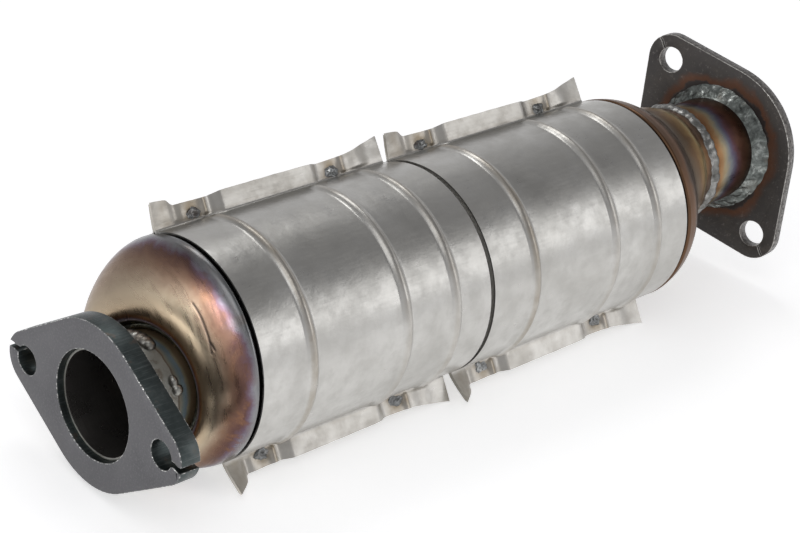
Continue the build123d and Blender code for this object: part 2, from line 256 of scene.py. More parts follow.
def mesh_object(name, vertices, faces, smooth_angle=35.0):
    mesh = bpy.data.meshes.new(name)
    mesh.from_pydata([tuple(v) for v in vertices], [], faces)
    mesh.validate()
    shade(mesh, smooth_angle)
    return add_object(name, mesh)


def object_from(work, name):
    """Object with the mesh of this work in progress, which is freed."""
    mesh = bpy.data.meshes.new(name)
    work.to_mesh(mesh)
    work.free()
    return add_object(name, mesh)


def shade(mesh, smooth_angle):
    mesh.polygons.foreach_set("use_smooth", [True] * len(mesh.polygons))
    mesh.set_sharp_from_angle(angle=math.radians(smooth_angle))
    mesh.update()


def turn_out(piece, merge=False):
    """Turn every face of a closed piece outwards, with its doubles merged first where asked."""
    work = bmesh.new()
    work.from_mesh(piece.data)
    if merge:
        bmesh.ops.remove_doubles(work, verts=work.verts, dist=1e-6)
    bmesh.ops.recalc_face_normals(work, faces=work.faces)
    work.to_mesh(piece.data)
    work.free()


def apply_modifiers(piece):
    """Keep the result of the modifiers as a plain mesh."""
    graph = bpy.context.evaluated_depsgraph_get()
    made = bpy.data.meshes.new_from_object(piece.evaluated_get(graph))
    piece.modifiers.clear()
    piece.data = made


def add_skin(piece, voxel):
    """Modifier that fuses what overlaps into one skin. It loses the materials."""
    skin = piece.modifiers.new("skin", "REMESH")
    skin.mode = "VOXEL"
    skin.voxel_size = voxel * MM
    skin.use_smooth_shade = True


def mark(piece, name, values):
    """A number at each vertex that a material can read."""
    attribute = piece.data.attributes.new(name, "FLOAT", "POINT")
    attribute.data.foreach_set("value", np.array(values, np.float32))


def finish_piece(piece, material, slot_name, *nodes):
    if not piece.data.materials:
        piece.data.materials.append(material)
    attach(piece, "root")
    if nodes:
        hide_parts(*nodes)


def grid_faces(rows, columns, closed):
    """Faces between rows of points. A closed grid joins its ends both ways."""
    faces = []
    for i in range(rows if closed else rows - 1):
        row = i * columns
        after = (i + 1) % rows * columns
        for j in range(columns if closed else columns - 1):
            k = (j + 1) % columns
            faces.append((row + j, row + k, after + k, after + j))
    return faces


def ring_solid(name, loop, steps, place=None, smooth_angle=40.0, swell=None):
    """Closed ring from a loop of (x, radius, centre y, centre z) points, in millimetres."""
    vertices = []
    for index, (x, radius, cy, cz) in enumerate(loop):
        for j in range(steps):
            turn = 2 * math.pi * j / steps
            out = radius + swell(index, turn) if swell else radius
            point = Vector((x, cy + out * math.sin(turn), cz + out * math.cos(turn)))
            vertices.append((place @ point if place else point) * MM)
    piece = mesh_object(name, vertices, grid_faces(len(loop), steps, True), smooth_angle)
    turn_out(piece, merge=True)
    shade(piece.data, smooth_angle)
    return piece


# Materials


class Finish:
    """A material, and the short calls that make its nodes."""

    def __init__(self, name):
        self.material = bpy.data.materials.new(name)
        self.material.use_nodes = True
        self.tree = self.material.node_tree
        self.shader = self.tree.nodes["Principled BSDF"]
        self.where = self.tree.nodes.new("ShaderNodeTexCoord").outputs["Object"]

    def node(self, kind, **settings):
        made = self.tree.nodes.new(kind)
        for key, value in settings.items():
            setattr(made, key, value)
        return made

    def feed(self, socket, value):
        if isinstance(value, bpy.types.NodeSocket):
            self.tree.links.new(value, socket)
        elif isinstance(value, tuple) and len(value) == 3 and socket.type == "RGBA":
            socket.default_value = (*value, 1.0)
        else:
            socket.default_value = value

    def stretched(self, scale, turn=(0, 0, 0)):
        """Object coordinates turned and scaled."""
        mapping = self.node("ShaderNodeMapping")
        self.feed(mapping.inputs["Vector"], self.where)
        mapping.inputs["Rotation"].default_value = turn
        mapping.inputs["Scale"].default_value = scale
        return mapping.outputs["Vector"]

    def clouds(self, scale, detail=4.0, rough=0.55, where=None, twist=0.0):
        made = self.node("ShaderNodeTexNoise")
        self.feed(made.inputs["Vector"], where or self.where)
        made.inputs["Scale"].default_value = scale
        made.inputs["Detail"].default_value = detail
        made.inputs["Roughness"].default_value = rough
        made.inputs["Distortion"].default_value = twist
        return made.outputs["Fac"]

    def sum(self, operation, a, b=0.0, c=None):
        """One step of arithmetic."""
        made = self.node("ShaderNodeMath", operation=operation)
        self.feed(made.inputs[0], a)
        self.feed(made.inputs[1], b)
        if c is not None:
            self.feed(made.inputs[2], c)
        return made.outputs[0]

    def between(self, value, low, high, out_low=0.0, out_high=1.0):
        """The value eased from one range into another."""
        made = self.node("ShaderNodeMapRange", interpolation_type="SMOOTHSTEP")
        self.feed(made.inputs["Value"], value)
        made.inputs["From Min"].default_value = low
        made.inputs["From Max"].default_value = high
        made.inputs["To Min"].default_value = out_low
        made.inputs["To Max"].default_value = out_high
        return made.outputs["Result"]

    def shades(self, value, *stops):
        """Colour ramp from (place, colour) stops."""
        made = self.node("ShaderNodeValToRGB")
        self.feed(made.inputs["Fac"], value)
        band = made.color_ramp
        while len(band.elements) < len(stops):
            band.elements.new(0.5)
        for element, (place, colour) in zip(band.elements, stops):
            element.position = place
            element.color = (*colour, 1.0)
        return made.outputs["Color"]

    def blend(self, amount, a, b, way="MIX"):
        made = self.node("ShaderNodeMix", data_type="RGBA", blend_type=way)
        self.feed(made.inputs["Factor"], amount)
        sockets = [s for s in made.inputs if s.type == "RGBA"]
        self.feed(sockets[0], a)
        self.feed(sockets[1], b)
        return [s for s in made.outputs if s.type == "RGBA"][0]

    def read(self, name):
        """A number that is marked on the piece's vertices."""
        return self.node("ShaderNodeAttribute", attribute_name=name).outputs["Fac"]

    def relief(self, height, depth, strength=1.0, over=None):
        made = self.node("ShaderNodeBump")
        made.inputs["Strength"].default_value = strength
        made.inputs["Distance"].default_value = depth
        self.feed(made.inputs["Height"], height)
        if over is not None:
            self.feed(made.inputs["Normal"], over)
        return made.outputs["Normal"]

    def wear(self, **values):
        """Feed the shader's own sockets, named with _ for a space."""
        for key, value in values.items():
            self.feed(self.shader.inputs[key.replace("_", " ")], value)
        return self.material


def shield_finish():
    """Satin sheet, browned where 'stain' says."""
    f = Finish("satin_shield_steel")
    broad = f.clouds(22.0, 5.0, 0.6, twist=0.4)
    mottle = f.clouds(95.0, 5.0, 0.62)
    grain = f.clouds(1400.0, 2.0, 0.5)
    scratches = f.clouds(60.0, 6.0, 0.7, f.stretched((1.0, 14.0, 14.0), turn=(0.3, 0.2, 0.5)))
    metal = f.shades(
        broad,
        (0.30, (0.47, 0.46, 0.435)), (0.52, (0.56, 0.55, 0.525)), (0.72, (0.63, 0.62, 0.595)),
    )
    metal = f.blend(f.between(mottle, 0.35, 0.7, 0.0, 0.55), metal, (0.44, 0.43, 0.405))
    stain = f.sum("MULTIPLY", f.read("stain"), f.between(mottle, 0.25, 0.75, 0.55, 1.15))
    metal = f.blend(stain, metal, (0.32, 0.27, 0.205))
    rough = f.between(mottle, 0.3, 0.75, 0.31, 0.43)
    rough = f.sum("ADD", rough, f.between(scratches, 0.4, 0.8, -0.04, 0.06))
    bump = f.relief(broad, 0.0011, 0.5)
    bump = f.relief(mottle, 0.00022, 0.6, bump)
    bump = f.relief(scratches, 0.00006, 0.5, bump)
    bump = f.relief(grain, 0.00002, 0.5, bump)
    return f.wear(Base_Color=metal, Metallic=1.0, Roughness=rough, Normal=bump)


def dome_finish():
    """Spun steel with heat colours in rings that follow 'reach', the way in from the outer edge, and a
    painted highlight as a pale line on the crest of the mouth.
    """
    f = Finish("heat_tinted_dome_painted_highlight")
    reach = f.read("reach")
    drift = f.clouds(26.0, 4.0, 0.6, twist=0.6)
    patches = f.clouds(70.0, 5.0, 0.65, twist=1.2)
    waves = f.between(drift, 0.25, 0.75, -0.07, 0.07)
    shift = f.sum("ADD", waves, f.between(patches, 0.25, 0.75, -0.03, 0.03))
    steady = f.between(reach, 0.50, 0.70, 1.0, 0.06)
    place = f.sum("ADD", reach, f.sum("MULTIPLY", shift, steady))
    # The violet and pale stops at 0.805 and 0.84, on the crest of the mouth, are a painted highlight; the
    # other stops are heat colours.
    tint = f.shades(
        place,
        (0.00, (0.20, 0.205, 0.21)), (0.08, (0.26, 0.26, 0.27)), (0.13, (0.21, 0.19, 0.225)),
        (0.17, (0.15, 0.10, 0.13)), (0.21, (0.125, 0.068, 0.060)), (0.28, (0.165, 0.092, 0.068)),
        (0.36, (0.235, 0.150, 0.105)), (0.46, (0.37, 0.275, 0.20)), (0.57, (0.51, 0.42, 0.305)),
        (0.68, (0.57, 0.455, 0.315)), (0.75, (0.54, 0.40, 0.26)), (0.775, (0.42, 0.205, 0.095)),
        (0.79, (0.29, 0.13, 0.08)), (0.805, (0.34, 0.28, 0.35)), (0.84, (0.58, 0.56, 0.61)),
        (0.87, (0.20, 0.235, 0.25)), (0.92, (0.30, 0.305, 0.25)), (0.96, (0.38, 0.33, 0.19)),
        (1.00, (0.16, 0.15, 0.12)),
    )
    copper = f.sum("MULTIPLY", f.between(patches, 0.47, 0.62), f.read("copper"))
    tint = f.blend(copper, tint, (0.22, 0.115, 0.07))
    soot = f.sum("MULTIPLY", f.between(f.clouds(40.0, 4.0, 0.6, twist=0.7), 0.52, 0.72), 0.38)
    tint = f.blend(soot, tint, (0.15, 0.105, 0.08))
    # Greyer, darker brown on the upper far side of the dome.
    tint = f.blend(f.read("greyed_upper_far_side"), tint, (0.185, 0.145, 0.11))
    tint = f.blend(f.read("scratch"), tint, (0.055, 0.04, 0.035))
    spun = f.clouds(55.0, 5.0, 0.6, f.stretched((14.0, 1.0, 1.0)))
    rough = f.between(spun, 0.3, 0.7, 0.24, 0.36)
    bump = f.relief(f.clouds(40.0, 3.0), 0.0005, 0.5)
    bump = f.relief(spun, 0.00005, 0.6, bump)
    bump = f.relief(f.read("scratch"), -0.00012, 0.6, bump)
    return f.wear(Base_Color=tint, Metallic=1.0, Roughness=rough, Normal=bump)


def plate_face_finish():
    """Dark grey ground face of the inlet plate."""
    f = Finish("ground_plate_face")
    film = f.clouds(45.0, 5.0, 0.6)
    fine = f.clouds(900.0, 3.0, 0.6)
    metal = f.shades(film, (0.3, (0.102, 0.101, 0.107)), (0.7, (0.142, 0.140, 0.147)))
    metal = f.blend(f.between(fine, 0.45, 0.8, 0.0, 0.35), metal, (0.25, 0.25, 0.25))
    bump = f.relief(fine, 0.00004, 0.5)
    bump = f.relief(film, 0.0003, 0.3, bump)
    rough = f.between(film, 0.3, 0.7, 0.42, 0.55)
    return f.wear(Base_Color=metal, Metallic=0.9, Roughness=rough, Normal=bump)


def plate_wall_finish():
    """Flame-cut wall of the inlet plate, with fine strokes across it."""
    f = Finish("flame_cut_plate_wall")
    strokes = f.clouds(60.0, 5.0, 0.65, f.stretched((1.0, 22.0, 22.0)))
    film = f.clouds(60.0, 4.0, 0.6)
    metal = f.shades(
        film,
        (0.3, (0.038, 0.045, 0.045)), (0.55, (0.066, 0.080, 0.080)), (0.75, (0.115, 0.13, 0.128)),
    )
    metal = f.blend(f.between(strokes, 0.5, 0.78, 0.0, 0.4), metal, (0.24, 0.26, 0.255))
    rust = f.sum("MULTIPLY", f.between(f.clouds(120.0, 4.0), 0.58, 0.7), 0.35)
    metal = f.blend(rust, metal, (0.16, 0.085, 0.05))
    bump = f.relief(strokes, 0.00028, 0.6)
    rough = f.between(strokes, 0.3, 0.8, 0.34, 0.5)
    return f.wear(Base_Color=metal, Metallic=0.95, Roughness=rough, Normal=bump)


def worn_edge_finish(name, dark, bright, low, high, metallic=0.6):
    """Nicked metal that turns from dark to bright between two levels of its noise."""
    f = Finish(name)
    nicks = f.clouds(620.0, 4.0, 0.7)
    metal = f.shades(nicks, (low, dark), (high, bright))
    bump = f.relief(nicks, 0.0003, 0.8)
    rough = f.between(nicks, 0.35, 0.65, 0.45, 0.22)
    return f.wear(Base_Color=metal, Metallic=metallic, Roughness=rough, Normal=bump)


def mill_scale_finish():
    """Dark hot-rolled plate with a burnt halo round the pipe: 'ring' is the distance from the bore."""
    f = Finish("mill_scale_plate")
    ring = f.read("ring")
    film = f.clouds(55.0, 5.0, 0.65, twist=0.5)
    flecks = f.clouds(420.0, 4.0, 0.7)
    base = f.shades(
        film,
        (0.3, (0.040, 0.036, 0.035)), (0.55, (0.062, 0.056, 0.052)), (0.75, (0.095, 0.083, 0.073)),
    )
    base = f.blend(f.between(flecks, 0.56, 0.72, 0.0, 0.6), base, (0.17, 0.155, 0.145))
    halo_place = f.sum("ADD", ring, f.between(film, 0.25, 0.75, -2.2, 2.2))
    outer = f.between(halo_place, 40.0, 45.5, 1.0, 0.0)
    halo = f.sum("MULTIPLY", f.between(halo_place, 37.5, 39.5), outer)
    base = f.blend(f.sum("MULTIPLY", halo, 0.8), base, (0.135, 0.055, 0.026))
    soot = f.between(halo_place, 37.0, 39.0, 0.85, 0.0)
    base = f.blend(soot, base, (0.035, 0.028, 0.026))
    bump = f.relief(flecks, 0.00012, 0.6)
    bump = f.relief(film, 0.0004, 0.4, bump)
    rough = f.between(film, 0.3, 0.7, 0.42, 0.6)
    return f.wear(Base_Color=base, Metallic=0.55, Roughness=rough, Normal=bump)


def weld_finish(name, dark, mid, bright, rusty):
    """Lumpy weld metal, partly rusty, lightest on the high spots of its noise, where the light shade is
    partly painted glints.
    """
    f = Finish(name)
    lumps = f.clouds(160.0, 5.0, 0.65, twist=0.8)
    fine = f.clouds(700.0, 4.0, 0.7)
    # The bright stop gives painted glints on the lumps, as well as the metal's own uneven tone.
    metal = f.shades(lumps, (0.30, dark), (0.52, mid), (0.74, bright))
    rust = f.sum("MULTIPLY", f.between(f.clouds(90.0, 4.0), 0.56, 0.70), rusty)
    metal = f.blend(rust, metal, RUST)
    bump = f.relief(lumps, 0.0006, 0.5)
    bump = f.relief(fine, 0.00012, 0.6, bump)
    rough = f.between(lumps, 0.3, 0.75, 0.42, 0.22)
    return f.wear(Base_Color=metal, Metallic=1.0, Roughness=rough, Normal=bump)


def tinted_pipe_finish():
    """Rainbow of heat colours along the pipe: 'along' runs from the neck to the flange."""
    f = Finish("rainbow_tinted_pipe")
    drift = f.clouds(45.0, 4.0, 0.6, twist=0.7)
    place = f.sum("ADD", f.read("along"), f.between(drift, 0.25, 0.75, -0.06, 0.06))
    tint = f.shades(
        place,
        (0.00, (0.12, 0.065, 0.035)), (0.16, (0.24, 0.115, 0.050)), (0.26, (0.34, 0.20, 0.095)),
        (0.34, (0.36, 0.30, 0.195)), (0.42, (0.22, 0.235, 0.245)), (0.49, (0.145, 0.125, 0.185)),
        (0.56, (0.17, 0.085, 0.095)), (0.66, (0.19, 0.095, 0.065)), (0.80, (0.155, 0.085, 0.050)),
        (0.92, (0.085, 0.055, 0.042)), (1.00, (0.075, 0.055, 0.045)),
    )
    rough = f.between(f.clouds(150.0, 4.0), 0.3, 0.7, 0.27, 0.40)
    drawn = f.clouds(70.0, 4.0, 0.6, f.stretched((1.0, 9.0, 9.0)))
    bump = f.relief(drawn, 0.00006, 0.6)
    return f.wear(Base_Color=tint, Metallic=1.0, Roughness=rough, Normal=bump)


def tinted_cone_finish():
    """Heat colours of the outlet cone: 'along' runs from the shield to the neck."""
    f = Finish("brown_tinted_cone")
    drift = f.clouds(30.0, 4.0, 0.6, twist=0.8)
    place = f.sum("ADD", f.read("along"), f.between(drift, 0.25, 0.75, -0.08, 0.08))
    tint = f.shades(
        place,
        (0.00, (0.13, 0.075, 0.045)), (0.10, (0.155, 0.085, 0.05)), (0.20, (0.115, 0.08, 0.06)),
        (0.36, (0.105, 0.08, 0.065)), (0.50, (0.15, 0.11, 0.075)), (0.60, (0.17, 0.105, 0.06)),
        (0.70, (0.29, 0.19, 0.085)), (0.77, (0.36, 0.29, 0.15)), (0.83, (0.22, 0.12, 0.055)),
        (0.90, (0.13, 0.075, 0.045)), (1.00, (0.10, 0.07, 0.05)),
    )
    spun = f.clouds(60.0, 4.0, 0.6, f.stretched((12.0, 1.0, 1.0)))
    bump = f.relief(f.clouds(35.0, 3.0), 0.0005, 0.5)
    bump = f.relief(spun, 0.00005, 0.6, bump)
    rough = f.between(spun, 0.3, 0.7, 0.30, 0.42)
    return f.wear(Base_Color=tint, Metallic=1.0, Roughness=rough, Normal=bump)


def can_shade_steel_finish():
    """Steel of the can, painted near black as the shade in the gaps where it shows, with turned rings."""
    f = Finish("can_steel_painted_shade")
    soot = f.clouds(80.0, 5.0, 0.6)
    rings = f.clouds(30.0, 4.0, 0.6, f.stretched((22.0, 1.0, 1.0)))
    metal = f.shades(soot, (0.3, (0.030, 0.028, 0.026)), (0.7, (0.085, 0.078, 0.070)))
    bump = f.relief(rings, 0.0003, 0.6)
    rough = f.between(soot, 0.3, 0.7, 0.34, 0.55)
    return f.wear(Base_Color=metal, Metallic=0.8, Roughness=rough, Normal=bump)


def pipe_end_finish():
    """Inlet tube: bright steel, heat colours by the dome's 'mouth' and 'soot' inside."""
    f = Finish("cut_tube_end")
    film = f.clouds(90.0, 4.0, 0.6)
    rings = f.clouds(30.0, 4.0, 0.6, f.stretched((22.0, 1.0, 1.0)))
    metal = f.shades(film, (0.3, (0.19, 0.19, 0.175)), (0.6, (0.33, 0.33, 0.30)), (0.8, (0.46, 0.46, 0.42)))
    rust = f.between(f.clouds(75.0, 5.0, 0.65, twist=1.0), 0.52, 0.66, 0.0, 0.7)
    metal = f.blend(rust, metal, (0.12, 0.085, 0.055))
    near = f.sum("ADD", f.read("mouth"), f.between(film, 0.3, 0.7, -0.5, 0.5))
    tint = f.shades(
        f.sum("MULTIPLY_ADD", near, 0.1, 0.8),
        (0.10, (0.10, 0.075, 0.055)), (0.20, (0.20, 0.19, 0.15)), (0.38, (0.15, 0.195, 0.20)),
        (0.52, (0.17, 0.22, 0.25)), (0.66, (0.28, 0.25, 0.165)), (0.80, (0.21, 0.145, 0.085)),
    )
    metal = f.blend(f.between(near, -7.4, -6.8), metal, tint)
    metal = f.blend(f.read("soot"), metal, (0.075, 0.07, 0.066))
    bump = f.relief(rings, 0.0002, 0.5)
    rough = f.between(film, 0.3, 0.7, 0.42, 0.58)
    rough = f.sum("SUBTRACT", rough, f.sum("MULTIPLY", f.read("soot"), 0.18))
    return f.wear(Base_Color=metal, Metallic=0.75, Roughness=rough, Normal=bump)


def ceramic_finish(name, ends=None):
    """Pale ceramic. Where the ends are given they get painted shade, near black, for the shade inside the
    open cells of a brick.
    """
    f = Finish(name)
    tone = f.clouds(60.0, 5.0, 0.6)
    body = f.shades(tone, (0.3, (0.26, 0.235, 0.20)), (0.7, (0.44, 0.40, 0.335)))
    if ends:
        split = f.node("ShaderNodeSeparateXYZ")
        f.feed(split.inputs[0], f.where)
        # Painted shade on each end face, for the shade inside its open cells.
        for end, way in zip(ends, (1, -1)):
            dark = f.between(split.outputs["X"], end + way * 0.0003, end + way * 0.0001)
            body = f.blend(dark, body, (0.018, 0.016, 0.014))
    bump = f.relief(f.clouds(600.0, 3.0), 0.0001, 0.6)
    return f.wear(Base_Color=body, Roughness=f.between(tone, 0.3, 0.7, 0.75, 0.95), Normal=bump)


def fibre_finish(name, dark, light):
    """Matted fibres of a mat or a blanket."""
    f = Finish(name)
    strands = f.clouds(180.0, 6.0, 0.75, f.stretched((1.0, 5.0, 5.0)), twist=1.5)
    body = f.shades(strands, (0.3, dark), (0.7, light))
    bump = f.relief(strands, 0.0006, 0.8)
    return f.wear(Base_Color=body, Roughness=f.between(strands, 0.3, 0.7, 0.85, 1.0), Normal=bump)


WELD_METALS = {name: weld_finish(name, *shades) for name, shades in WELD_SHADES.items()}


# Heat shields


def on_body(x, y, z):
    """Point in metres from its place along the body, across the seam plane and up along it."""
    point = SEAM_TURN @ Vector((0.0, y, z))
    return Vector((x, AXIS_Y + point.y, AXIS_Z + point.z)) * MM


def seam_offset(x, share, root, edge):
    """Offset of the seam towards the near side: pressed pattern, creases and weld dimples."""
    base = eased(x, SEAM_X, root)
    tip = eased(x, SEAM_X, edge)
    ridge = sum(height * bell(x - place, width, 1.25) for place, height, width in CREASES)
    tail = TAIL[1] * bell(x - TAIL[0], TAIL[2])
    valley = VALLEY[1] * bell(x - VALLEY[0], VALLEY[2])
    dimple = sum(DIMPLE_DEPTH * bell(x - place, DIMPLE_WIDTH, 4) for place in NUGGETS)
    dimple *= bell(share - NUGGET_SHARE, 0.38)
    fade = smooth_step(share / 0.15)
    return base + (tip - base) * share**1.25 + fade * (ridge + tail - valley - dimple)


def rib_bump(x):
    bump = 0.0
    for place in RIBS:
        share = min(1.0, abs(x - place) / (RIB_WIDTH / 2))
        bump += RIB_HEIGHT * 0.5 * (1 + math.cos(math.pi * share))
    return bump


def flange_and_fold(x, side, root, edge, radius):
    """Middle line of one seam flange and its fold, from the tip in, and the angle where the fold ends."""
    room = SHEET / 2 + SHEET_GAP
    reach = side * eased(x, SEAM_X, root) + room + FOLD_RADIUS
    fold_z = math.sqrt((SHEET_MIDDLE + FOLD_RADIUS) ** 2 - reach**2)
    fold_end = math.atan2(reach, fold_z)
    tip = eased(x, SEAM_X, radius) - (0.0 if side > 0 else FAR_STEP)
    tip -= 0.25 * abs(noise.noise(Vector((x * 0.11, tip, side * 3.0))))
    line = []
    for share in np.linspace(1.0, 0.0, 11)[:-1]:
        line.append((side * seam_offset(x, share, root, edge) + room, fold_z + (tip - fold_z) * share))
    for share in np.linspace(0.0, 1.0, 6):
        turn = share * (math.pi / 2 - fold_end)
        line.append((reach - FOLD_RADIUS * math.cos(turn), fold_z - FOLD_RADIUS * math.sin(turn)))
    return line, fold_end


def shield_section(x, side):
    """Middle line of one half-shell at x, as (towards its own side, up) points from tip to tip."""
    upper, upper_end = flange_and_fold(x, side, *UPPER_SEAM)
    lower, lower_end = flange_and_fold(x, side, *LOWER_SEAM)
    span = math.pi - upper_end - lower_end
    shell = []
    for k in range(1, SHELL_POINTS):
        share = k / SHELL_POINTS
        angle = upper_end + span * share
        from_fold = min(share, 1 - share) * span / math.radians(9.0)
        bump = rib_bump(x) * smooth_step(from_fold)
        dent = 0.16 * noise.noise(Vector((x * 0.035, angle * 2.1, side * 5.0)))
        dent += 0.05 * noise.noise(Vector((x * 0.12, angle * 6.0, side * 9.0)))
        radius = SHEET_MIDDLE + bump + dent * smooth_step(from_fold * 0.6)
        radius = min(radius, SHEET_MIDDLE + RIB_HEIGHT - 0.02)
        shell.append((radius * math.sin(angle), radius * math.cos(angle)))
    return upper + shell + [(y, -z) for y, z in reversed(lower)]


def shield_columns():
    """Places of the cross sections, closer together where the sheet is pressed."""
    columns = set(np.linspace(0.0, SECTION, 90))
    for place in RIBS:
        columns |= set(place + np.linspace(-RIB_WIDTH / 2, RIB_WIDTH / 2, 15))
    for place in (*(crease[0] for crease in CREASES), *NUGGETS, *STEPS_X):
        columns |= set(place + np.linspace(-3.5, 3.5, 8))
    chosen = []
    for x in sorted(columns):
        if not chosen or x - chosen[-1] > 0.28:
            chosen.append(float(x))
    chosen[-1] = SECTION
    return chosen


def heat_stain(x, radius):
    """How brown the sheet is: round the weld nuggets, in the folds and a little at the open ends."""
    out = max(0.0, radius - SHELL)
    flange = min(1.0, out / 2.0)
    stain = 0.24 * flange + 0.26 * bell(radius - SHELL - 0.8, 1.3) * flange
    for place in NUGGETS:
        stain += 0.85 * bell(x - place, 6.0) * flange * bell(out - 4.0, 8.0)
        stain += 0.20 * bell(x - place, 9.0) * bell(radius - SHELL, 3.0) * (out > 0.3)
    for place in STAINED_CREASES:
        stain += 0.7 * flange * bell(x - place, 0.9)
    stain += 0.30 * flange * bell(x - 6.0, 7.0)
    return min(1.0, stain)


def shield(section, side, finish):
    """One half-shell: its middle surface from cross sections, thickened to the sheet."""
    label = "near" if side > 0 else "far"
    columns = shield_columns()
    vertices = []
    stains = []
    for x in columns:
        for own, up in shield_section(x, side):
            vertices.append(on_body(SECTION_STARTS[section] + x, -side * own, up))
            stains.append(heat_stain(x, math.hypot(own, up)))
    faces = grid_faces(len(columns), len(vertices) // len(columns), False)
    if side < 0:
        faces = [tuple(reversed(face)) for face in faces]
    piece = mesh_object(f"{section}_shield_{label}_sheet", vertices, faces)
    mark(piece, "stain", stains)
    wall = piece.modifiers.new("sheet", "SOLIDIFY")
    wall.thickness = SHEET * MM
    wall.offset = 0.0
    apply_modifiers(piece)
    shade(piece.data, 50.0)
    finish_piece(piece, finish, "shield_sheet", f"{section}_shield_{label}")


def seam_nuggets(section, label, finish):
    """Two lumpy weld nuggets in the pockets of one seam, on the near side."""
    sign, seam = (1, UPPER_SEAM) if label == "upper" else (-1, LOWER_SEAM)
    long, deep, high = NUGGET_SIZE
    work = bmesh.new()
    for place in NUGGETS:
        made = bmesh.ops.create_icosphere(work, subdivisions=5, radius=1.0)
        seed = Vector((place, sign * 7.0, SECTION_STARTS[section]))
        middle_x = SECTION_STARTS[section] + place
        middle_y = NUGGET_SINK - seam_offset(place, NUGGET_SHARE, *seam[:2]) - SHEET - SHEET_GAP
        for vertex in made["verts"]:
            d = vertex.co.normalized()
            lump = 1.0 + 0.36 * noise.noise(d * 1.7 + seed) + 0.14 * noise.noise(d * 4.3 + seed)
            lump += 0.05 * noise.noise(d * 10.0 + seed)
            crater = bell(math.hypot(d.x - 0.25, d.z + 0.1 * sign), math.sqrt(0.05)) * max(0.0, -d.y)
            lump *= 1.0 - 0.30 * crater
            x = middle_x + long * d.x * lump
            y = middle_y + deep * d.y * lump
            z = sign * NUGGET_HEIGHT + high * d.z * lump
            vertex.co = on_body(x, y, z)
    piece = object_from(work, f"{section}_{label}_weld_nuggets")
    shade(piece.data, 60.0)
    finish_piece(piece, finish, "weld_metal", f"{section}_{label}_seam_welds")


# Inlet end


def leaning(lean):
    """Turns a direction by this lean, towards the side that the mouth of the dome faces away from."""
    clock = math.radians(MOUTH_CLOCK)
    back = Matrix.Rotation(-clock, 3, "X")
    return back @ Matrix.Rotation(math.radians(-lean), 3, "Y") @ Matrix.Rotation(clock, 3, "X")


def dome_ring(angle, skin):
    """One ring of the dome: x, radius, share of the way to the bore axis, and its lean."""
    def outside(turn):
        along = math.sin(turn) ** DOME_X_POWER
        share = 1 - math.cos(turn) ** DOME_R_POWER
        size = SHELL + (MOUTH_RADIUS - SHELL) * share
        lip = LIP * smooth_step((MOUTH_RADIUS + LIP_WIDTH - size) / LIP_WIDTH)
        return DOME_EDGE_X + (MOUTH_X - DOME_EDGE_X) * along - lip, size, share, along

    x, radius, share, along = outside(angle)
    if skin:
        ahead = outside(min(angle + 0.002, math.pi / 2))
        behind = outside(max(angle - 0.002, 0.0))
        slope = math.atan2(behind[1] - ahead[1], behind[0] - ahead[0])
        x += skin * math.sin(slope)
        radius -= skin * math.cos(slope)
    return x, radius, share, MOUTH_LEAN * along


def dome_rings():
    """Rings of the dome from its edge in through the mouth and back inside to its skirt.

    Each has x, its depth along its lean, radius, share of the way to the bore axis, lean and
    place in the heat colours. A ring with no radius is fitted round the pipe.
    """
    rings = []
    lengths = []
    length = 0.0
    last = None
    for angle in np.linspace(0.0, math.radians(88.5), 80):
        x, radius, share, lean = dome_ring(angle, 0.0)
        if last:
            length += math.hypot(x - last[0], radius - last[1])
        last = (x, radius)
        lengths.append(length)
        rings.append((x, 0.0, radius, share, lean))
    whole = length + MOUTH_RADIUS - CREST_RADIUS
    rings = [(*ring, travelled / whole) for ring, travelled in zip(rings, lengths)]

    for k in range(9):
        turn = (math.pi / 2 - math.atan(GROOVE_SLOPE)) * k / 8
        deep = CREST * (1 - math.cos(turn))
        radius = CREST_RADIUS - CREST * math.sin(turn)
        rings.append((MOUTH_X - LIP, deep, radius, 1.0, MOUTH_LEAN, 1.0 + 0.05 * k / 8))
    for deep in (1.6, 2.6, 3.8, GROOVE_DEPTH - 0.05):
        radius = GROOVE_RADIUS - GROOVE_SLOPE * deep
        rings.append((MOUTH_X, deep, radius, 1.0, MOUTH_LEAN, 1.05 + 0.04 * deep))
    back = GROOVE_DEPTH + CONE_WALL
    floor = ((GROOVE_DEPTH, 30.0), (GROOVE_DEPTH, None), (back, None), (back, 30.6), (2.4, 33.2))
    for deep, radius in floor:
        rings.append((MOUTH_X, deep, radius, 1.0, MOUTH_LEAN, 1.25))
    for angle in np.linspace(math.radians(80.0), 0.0, 24):
        x, radius, share, lean = dome_ring(angle, CONE_WALL)
        rings.append((x, 0.0, radius, share, lean, 1.25))

    skirt = (
        (0.3, SHELL - CONE_WALL), (1.8, SKIRT_INSIDE), (SKIRT_LENGTH, SKIRT_INSIDE),
        (SKIRT_LENGTH, SKIRT_RADIUS), (2.3, SKIRT_RADIUS), (1.75, 54.0),
    )
    rings += [(DOME_EDGE_X + dx, 0.0, radius, 0.0, 0.0, -0.2) for dx, radius in skirt]
    for k in range(1, 9):
        turn = math.radians(90) * (1 - k / 9)
        x = DOME_EDGE_X + SHOULDER * math.sin(turn)
        rings.append((x, 0.0, SHELL - SHOULDER * (1 - math.cos(turn)), 0.0, 0.0, -0.03 * (1 - k / 9)))
    return rings


def ring_point(centre, turned, deep, radius, turn):
    size = radius or PIPE_HOLE
    for _ in range(1 if radius else 4):
        point = centre + turned @ Vector((deep, size * math.sin(turn), size * math.cos(turn)))
        size *= PIPE_HOLE / math.hypot(point.y, point.z)
    return point


